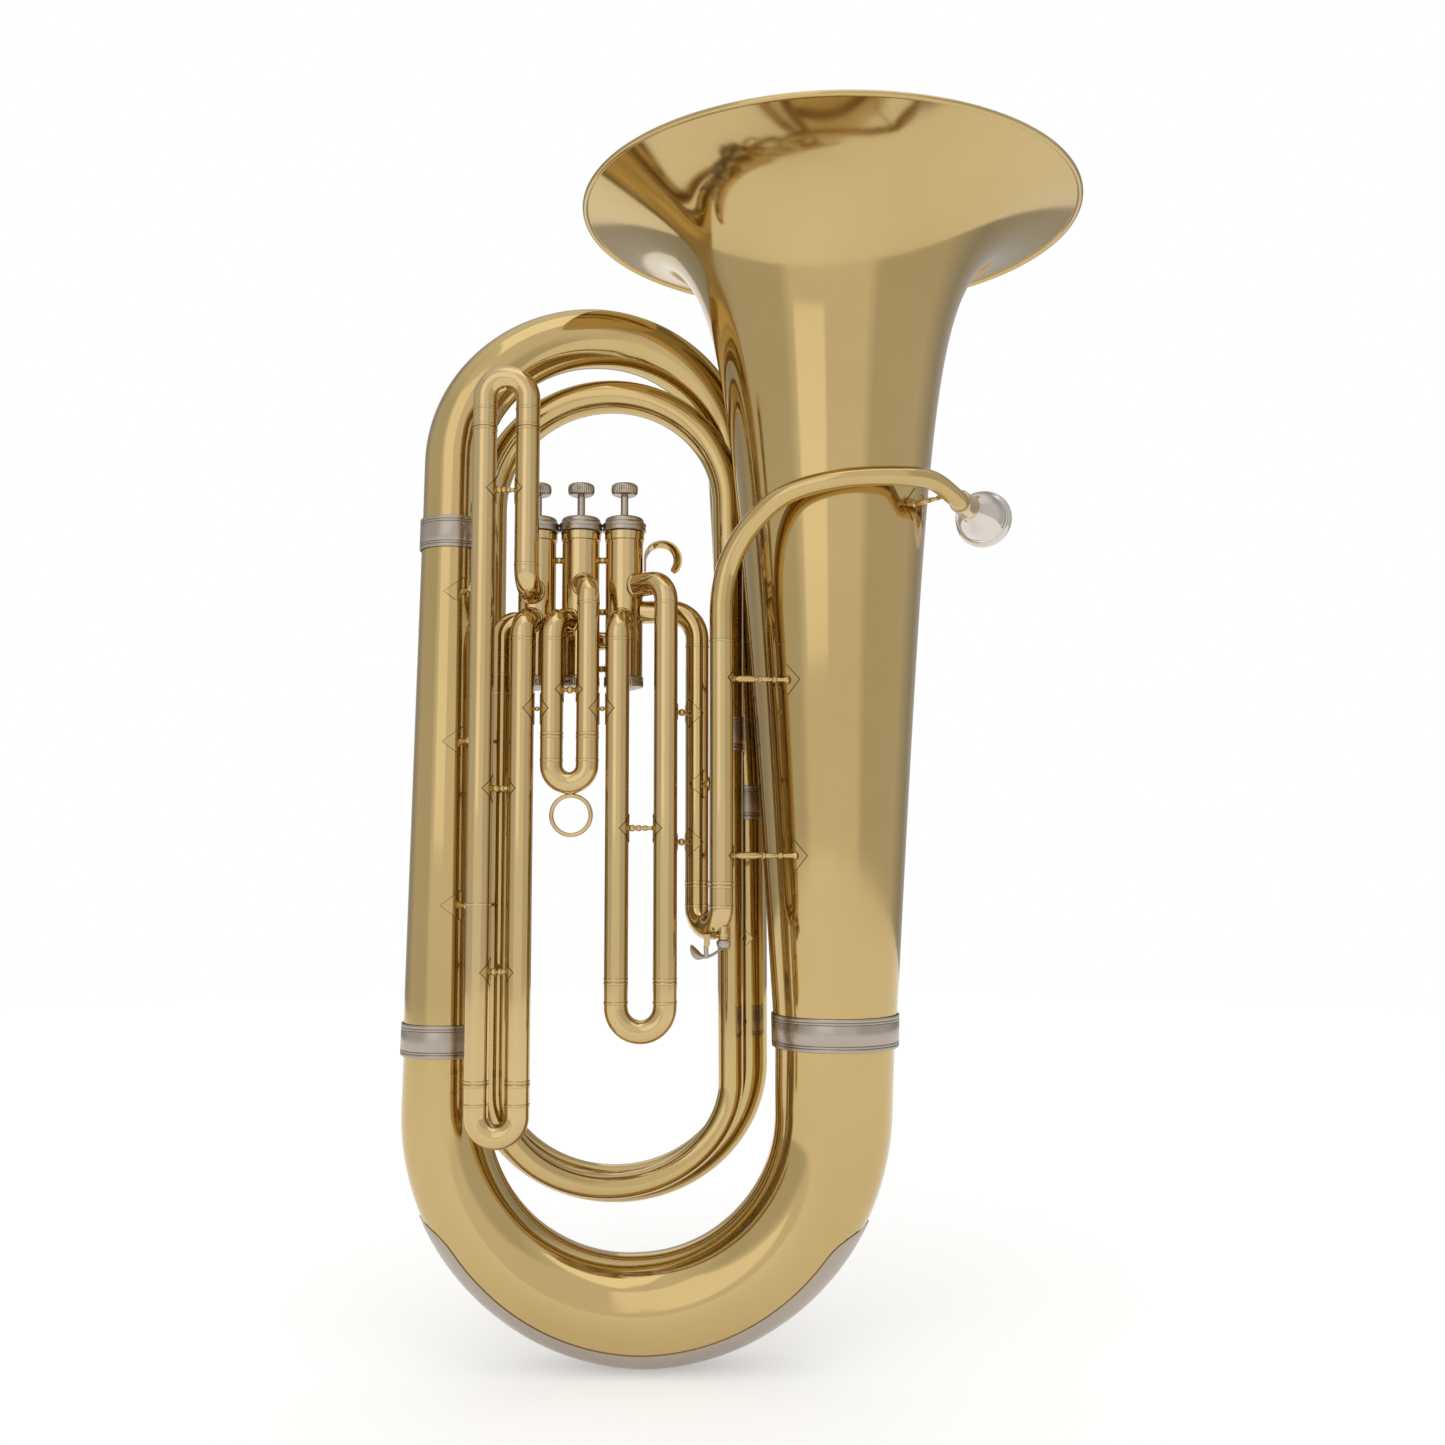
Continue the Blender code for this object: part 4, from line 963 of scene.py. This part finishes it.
def make_braces():
    third, first, second = THIRD_SLIDE_RADIUS, SLIDE_RADIUS, SECOND_SLIDE_RADIUS
    long_leg = Vector((LONG_LEG_X, SLIDE_Y, 0))

    shells = Shells()
    add_tie(shells, leg_centre(0, 0), leg_centre(0, 1), 0.4000, first, first, "rod")
    add_tie(shells, leg_centre(1, 0), leg_centre(1, 1), 0.5014, second, second, "ball", 0.0088)
    add_tie(shells, leg_centre(1, 1), leg_centre(0, 0), 0.4875, second, first, "ball", 0.0116)
    add_tie(shells, leg_centre(2, 0), leg_centre(1, 0), 0.4875, third, second, "ball", 0.0116)
    shells.show("first_and_second_leg_braces", "lacquered_brass", nodes=["valve1_brace"])

    shells = Shells()
    add_tie(shells, long_leg, leg_centre(2, 1), 0.6512, third, third, "rod")
    for z in (0.4290, 0.2962):
        add_tie(shells, long_leg, leg_centre(2, 0), z, third, third, "rod")
    for z, radius in ((0.5811, 0.0257), (0.4660, 0.0275), (0.3428, 0.0295)):
        branch = Vector((BRANCH_X, 0, z))
        across = (branch - Vector((LONG_LEG_X, SLIDE_Y, z))).normalized()
        add_ball_link(shells, Vector((LONG_LEG_X, SLIDE_Y, z)) + across * third,
                      branch - across * radius)
        add_foot(shells, branch, Z_AXIS, -across, radius, 0.0110, 0.0150)
        add_foot(shells, Vector((LONG_LEG_X, SLIDE_Y, z)), Z_AXIS, across, third, 0.0088, 0.0100)
    shells.show("third_leg_braces", "lacquered_brass", nodes=["valve3_brace"])

    shells = Shells()
    for z in (0.4859, 0.3900):
        add_tie(shells, leg_centre(0, 1), INLET_LEG, z, first, first, "ball")
    add_tie(shells, INLET_LEG, PIPE_LEG, 0.4330, first, first, "ball")
    shells.show("main_slide_leg_braces", "lacquered_brass", nodes=["main_slide_brace"])

    for node, z, end in (("bell_brace_upper", 0.5100, (0.1095, -0.0538)),
                         ("bell_brace_lower", 0.3800, (0.1145, -0.0478))):
        shells = Shells()
        end = Vector((*end, z + 0.0008))
        facing = Vector((end.x - BELL_X, end.y, 0)).normalized()
        surface = Vector((BELL_X, 0, z)) + facing * bell_radius(z)
        start = Vector((PIPE_LEG.x, PIPE_LEG.y, z))
        add_rod(shells, start + (surface - start).normalized() * first, surface, 0.0021)
        lean = (Z_AXIS + facing * bell_slope(z)).normalized()
        add_foot(shells, Vector((BELL_X, 0, z)), lean, facing, bell_radius(z), 0.0110, 0.0100)
        add_foot(shells, start, Z_AXIS, (surface - start), first, 0.0088, 0.0100)
        shells.show(node + "_rod", "lacquered_brass", nodes=[node])
    make_small_braces()


def make_solder_and_shade_lines():
    """One piece for each body: all its dark lines, solder at the joints and painted shade in grooves and
    steps.
    """
    for body, shells in LINES.items():
        shells.show(body + "_joint_and_shade_lines", "lacquered_brass", body=body, look="solder_and_groove_shade")


def make_small_braces():
    """Braces that have no solid of their own: at the leadpipe's end and between the bows."""
    shells = Shells()
    z = 0.6440
    facing = Vector((0.083, -0.064, 0)).normalized()
    surface = Vector((BELL_X, 0, z)) + facing * bell_radius(z)
    add_rod(shells, surface, Vector((BELL_X, 0, z + 0.0020)) + facing * 0.1010, 0.0017)
    add_foot(shells, Vector((BELL_X, 0, z)), Z_AXIS + facing * bell_slope(z), facing,
             bell_radius(z), 0.0120, 0.0110)
    front, rear = Vector((0.0698, 0.0200, 0)), Vector((0.0832, 0.0485, 0))
    for z in (0.3150, 0.2500):
        add_tie(shells, front, rear, z, 0.0101, 0.0156, "ball")
    shells.show("rear_and_leadpipe_braces", "lacquered_brass")


# ------------------------------------------------------- carried-over CAD nodes
def finish_inner_solids():
    """The pistons keep their solids and get the finished nickel."""
    for number in (1, 2, 3):
        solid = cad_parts[f"piston_{number}"]
        solid.data.materials.clear()
        solid.data.materials.append(METALS["nickel_silver"])


# ----------------------------------------------------------------------- stage
FLOOR_RADIUS = 3.0


def make_floor():
    bm = bmesh.new()
    turns = [2 * math.pi * i / 96 for i in range(96)]
    rim = [bm.verts.new((FLOOR_RADIUS * math.cos(a), FLOOR_RADIUS * math.sin(a), 0)) for a in turns]
    bm.faces.new(rim)
    mesh = bpy.data.meshes.new("studio_floor")
    bm.to_mesh(mesh)
    bm.free()
    material, tree, shader = new_material("studio_paper")
    feed(tree, shader, Base_Color=(0.92, 0.92, 0.92, 1), Roughness=0.9, Specular_IOR_Level=0.1,
         Emission_Color=(1, 1, 1, 1), Emission_Strength=0.30)
    mesh.materials.append(material)
    floor = bpy.data.objects.new("studio_floor", mesh)
    bpy.context.collection.objects.link(floor)


def make_world():
    """A white studio: a broad front softbox between plain walls, with a dim back."""
    world = bpy.data.worlds.new("studio")
    bpy.context.scene.world = world
    world.use_nodes = True
    tree = world.node_tree
    place = add_node(tree, "TexCoord").outputs["Generated"]
    split = add_node(tree, "SeparateXYZ", Vector=place)

    def arithmetic(operation, *values):
        node = tree.nodes.new("ShaderNodeMath")
        node.operation = operation
        for socket, value in zip(node.inputs, values):
            if isinstance(value, float):
                socket.default_value = value
            else:
                tree.links.new(value, socket)
        return node.outputs["Value"]

    def ramp(value, stops):
        node = add_node(tree, "ValToRGB", Fac=value)
        elements = node.color_ramp.elements
        while len(elements) < len(stops):
            elements.new(0.5)
        for element, (position, level) in zip(elements, stops):
            element.position = position
            element.color = (level, level * 0.995, level * 0.98, 1)
        return node.outputs["Color"]

    def mix(factor, first, second):
        node = tree.nodes.new("ShaderNodeMix")
        node.data_type = "RGBA"
        feed(tree, node, Factor=factor, A=first, B=second)
        return node.outputs["Result"]

    forward = arithmetic("MULTIPLY", split.outputs["Y"], -1.0)
    turn = arithmetic("ARCTAN2", split.outputs["X"], forward)
    share = arithmetic("MULTIPLY_ADD", turn, 1 / (2 * math.pi), 0.5)
    around = ramp(share, [(degrees / 360 + 0.5, level) for degrees, level in AROUND])
    height = arithmetic("MULTIPLY_ADD", split.outputs["Z"], 0.5, 0.5)
    overhead = ramp(height, [(0.5 + 0.5 * math.sin(math.radians(d)), level) for d, level in UP])
    studio = mix(overhead, around, (0.92, 0.92, 0.91, 1))
    seen = add_node(tree, "LightPath").outputs["Is Camera Ray"]
    feed(tree, tree.nodes["Background"], Color=mix(seen, studio, (1.0, 1.0, 1.0, 1)), Strength=1.0)


# the studio: a front softbox, plain side walls, a dark flag on each side and a dim back
SOFTBOX, SIDE_WALL, FLAG, BACK_WALL = 0.92, 0.68, 0.40, 0.50
SOFTBOX_LEFT, SOFTBOX_RIGHT, SOFTBOX_EDGE = -40, 30, 10
SIDE_END, FLAG_PLACE = 100, 130
# brightness by degrees to the right of the camera's side
AROUND = ((-180, BACK_WALL), (-FLAG_PLACE, FLAG), (-SIDE_END, SIDE_WALL),
          (SOFTBOX_LEFT - SOFTBOX_EDGE, SIDE_WALL), (SOFTBOX_LEFT, SOFTBOX),
          (SOFTBOX_RIGHT, SOFTBOX), (SOFTBOX_RIGHT + SOFTBOX_EDGE, SIDE_WALL),
          (SIDE_END, SIDE_WALL), (FLAG_PLACE, FLAG), (180, BACK_WALL))
# how far the ceiling takes over from the walls, by degrees above the horizon
UP = ((-90, 0.0), (40, 0.0), (65, 1.0), (90, 1.0))


def make_lights():
    for name, place, target, size, power in (
            ("front_softbox", (-1.0, -2.5, 1.6), (0, 0, 0.5), (1.6, 2.4), 4),
            ("top_softbox", (0.3, -0.6, 2.8), (0, 0, 0.4), (2.0, 1.6), 5),
            ("back_softbox", (-0.6, 2.4, 1.6), (0, 0, 0.5), (1.2, 1.6), 3)):
        data = bpy.data.lights.new(name, "AREA")
        data.shape = "RECTANGLE"
        data.size, data.size_y = size
        data.energy = power
        light = bpy.data.objects.new(name, data)
        light.location = place
        aim = Vector(target) - Vector(place)
        light.rotation_euler = aim.to_track_quat("-Z", "Y").to_euler()
        bpy.context.collection.objects.link(light)


def make_colours_plain():
    """Colours come out as they are lit, without a film curve."""
    bpy.context.scene.view_settings.view_transform = "Standard"


def make_camera():
    """Level with the lower valves, in front of the slides, tipped up a little."""
    data = bpy.data.cameras.new("camera")
    data.sensor_width, data.lens = 36.0, 36.77
    data.clip_start, data.clip_end = 0.05, 100
    camera = bpy.data.objects.new("camera", data)
    camera.location = (0.06325, -1.14, 0.38445)
    camera.rotation_euler = (math.radians(90 + 4.92), 0, 0)
    bpy.context.collection.objects.link(camera)
    bpy.context.scene.camera = camera


# -------------------------------------------------------------------- assembly
make_camera()
make_colours_plain()
make_world()
make_floor()
make_lights()
make_bell()
make_ferrules()
make_bottom_bow()
make_large_branches()
make_inner_branches()
for valve_index in range(3):
    make_valve(valve_index)
make_valve_links()
make_finger_hook()
make_valve_slides()
make_leadpipe()
make_mouthpiece()
make_main_slide()
make_water_key()
make_braces()
make_solder_and_shade_lines()
finish_inner_solids()
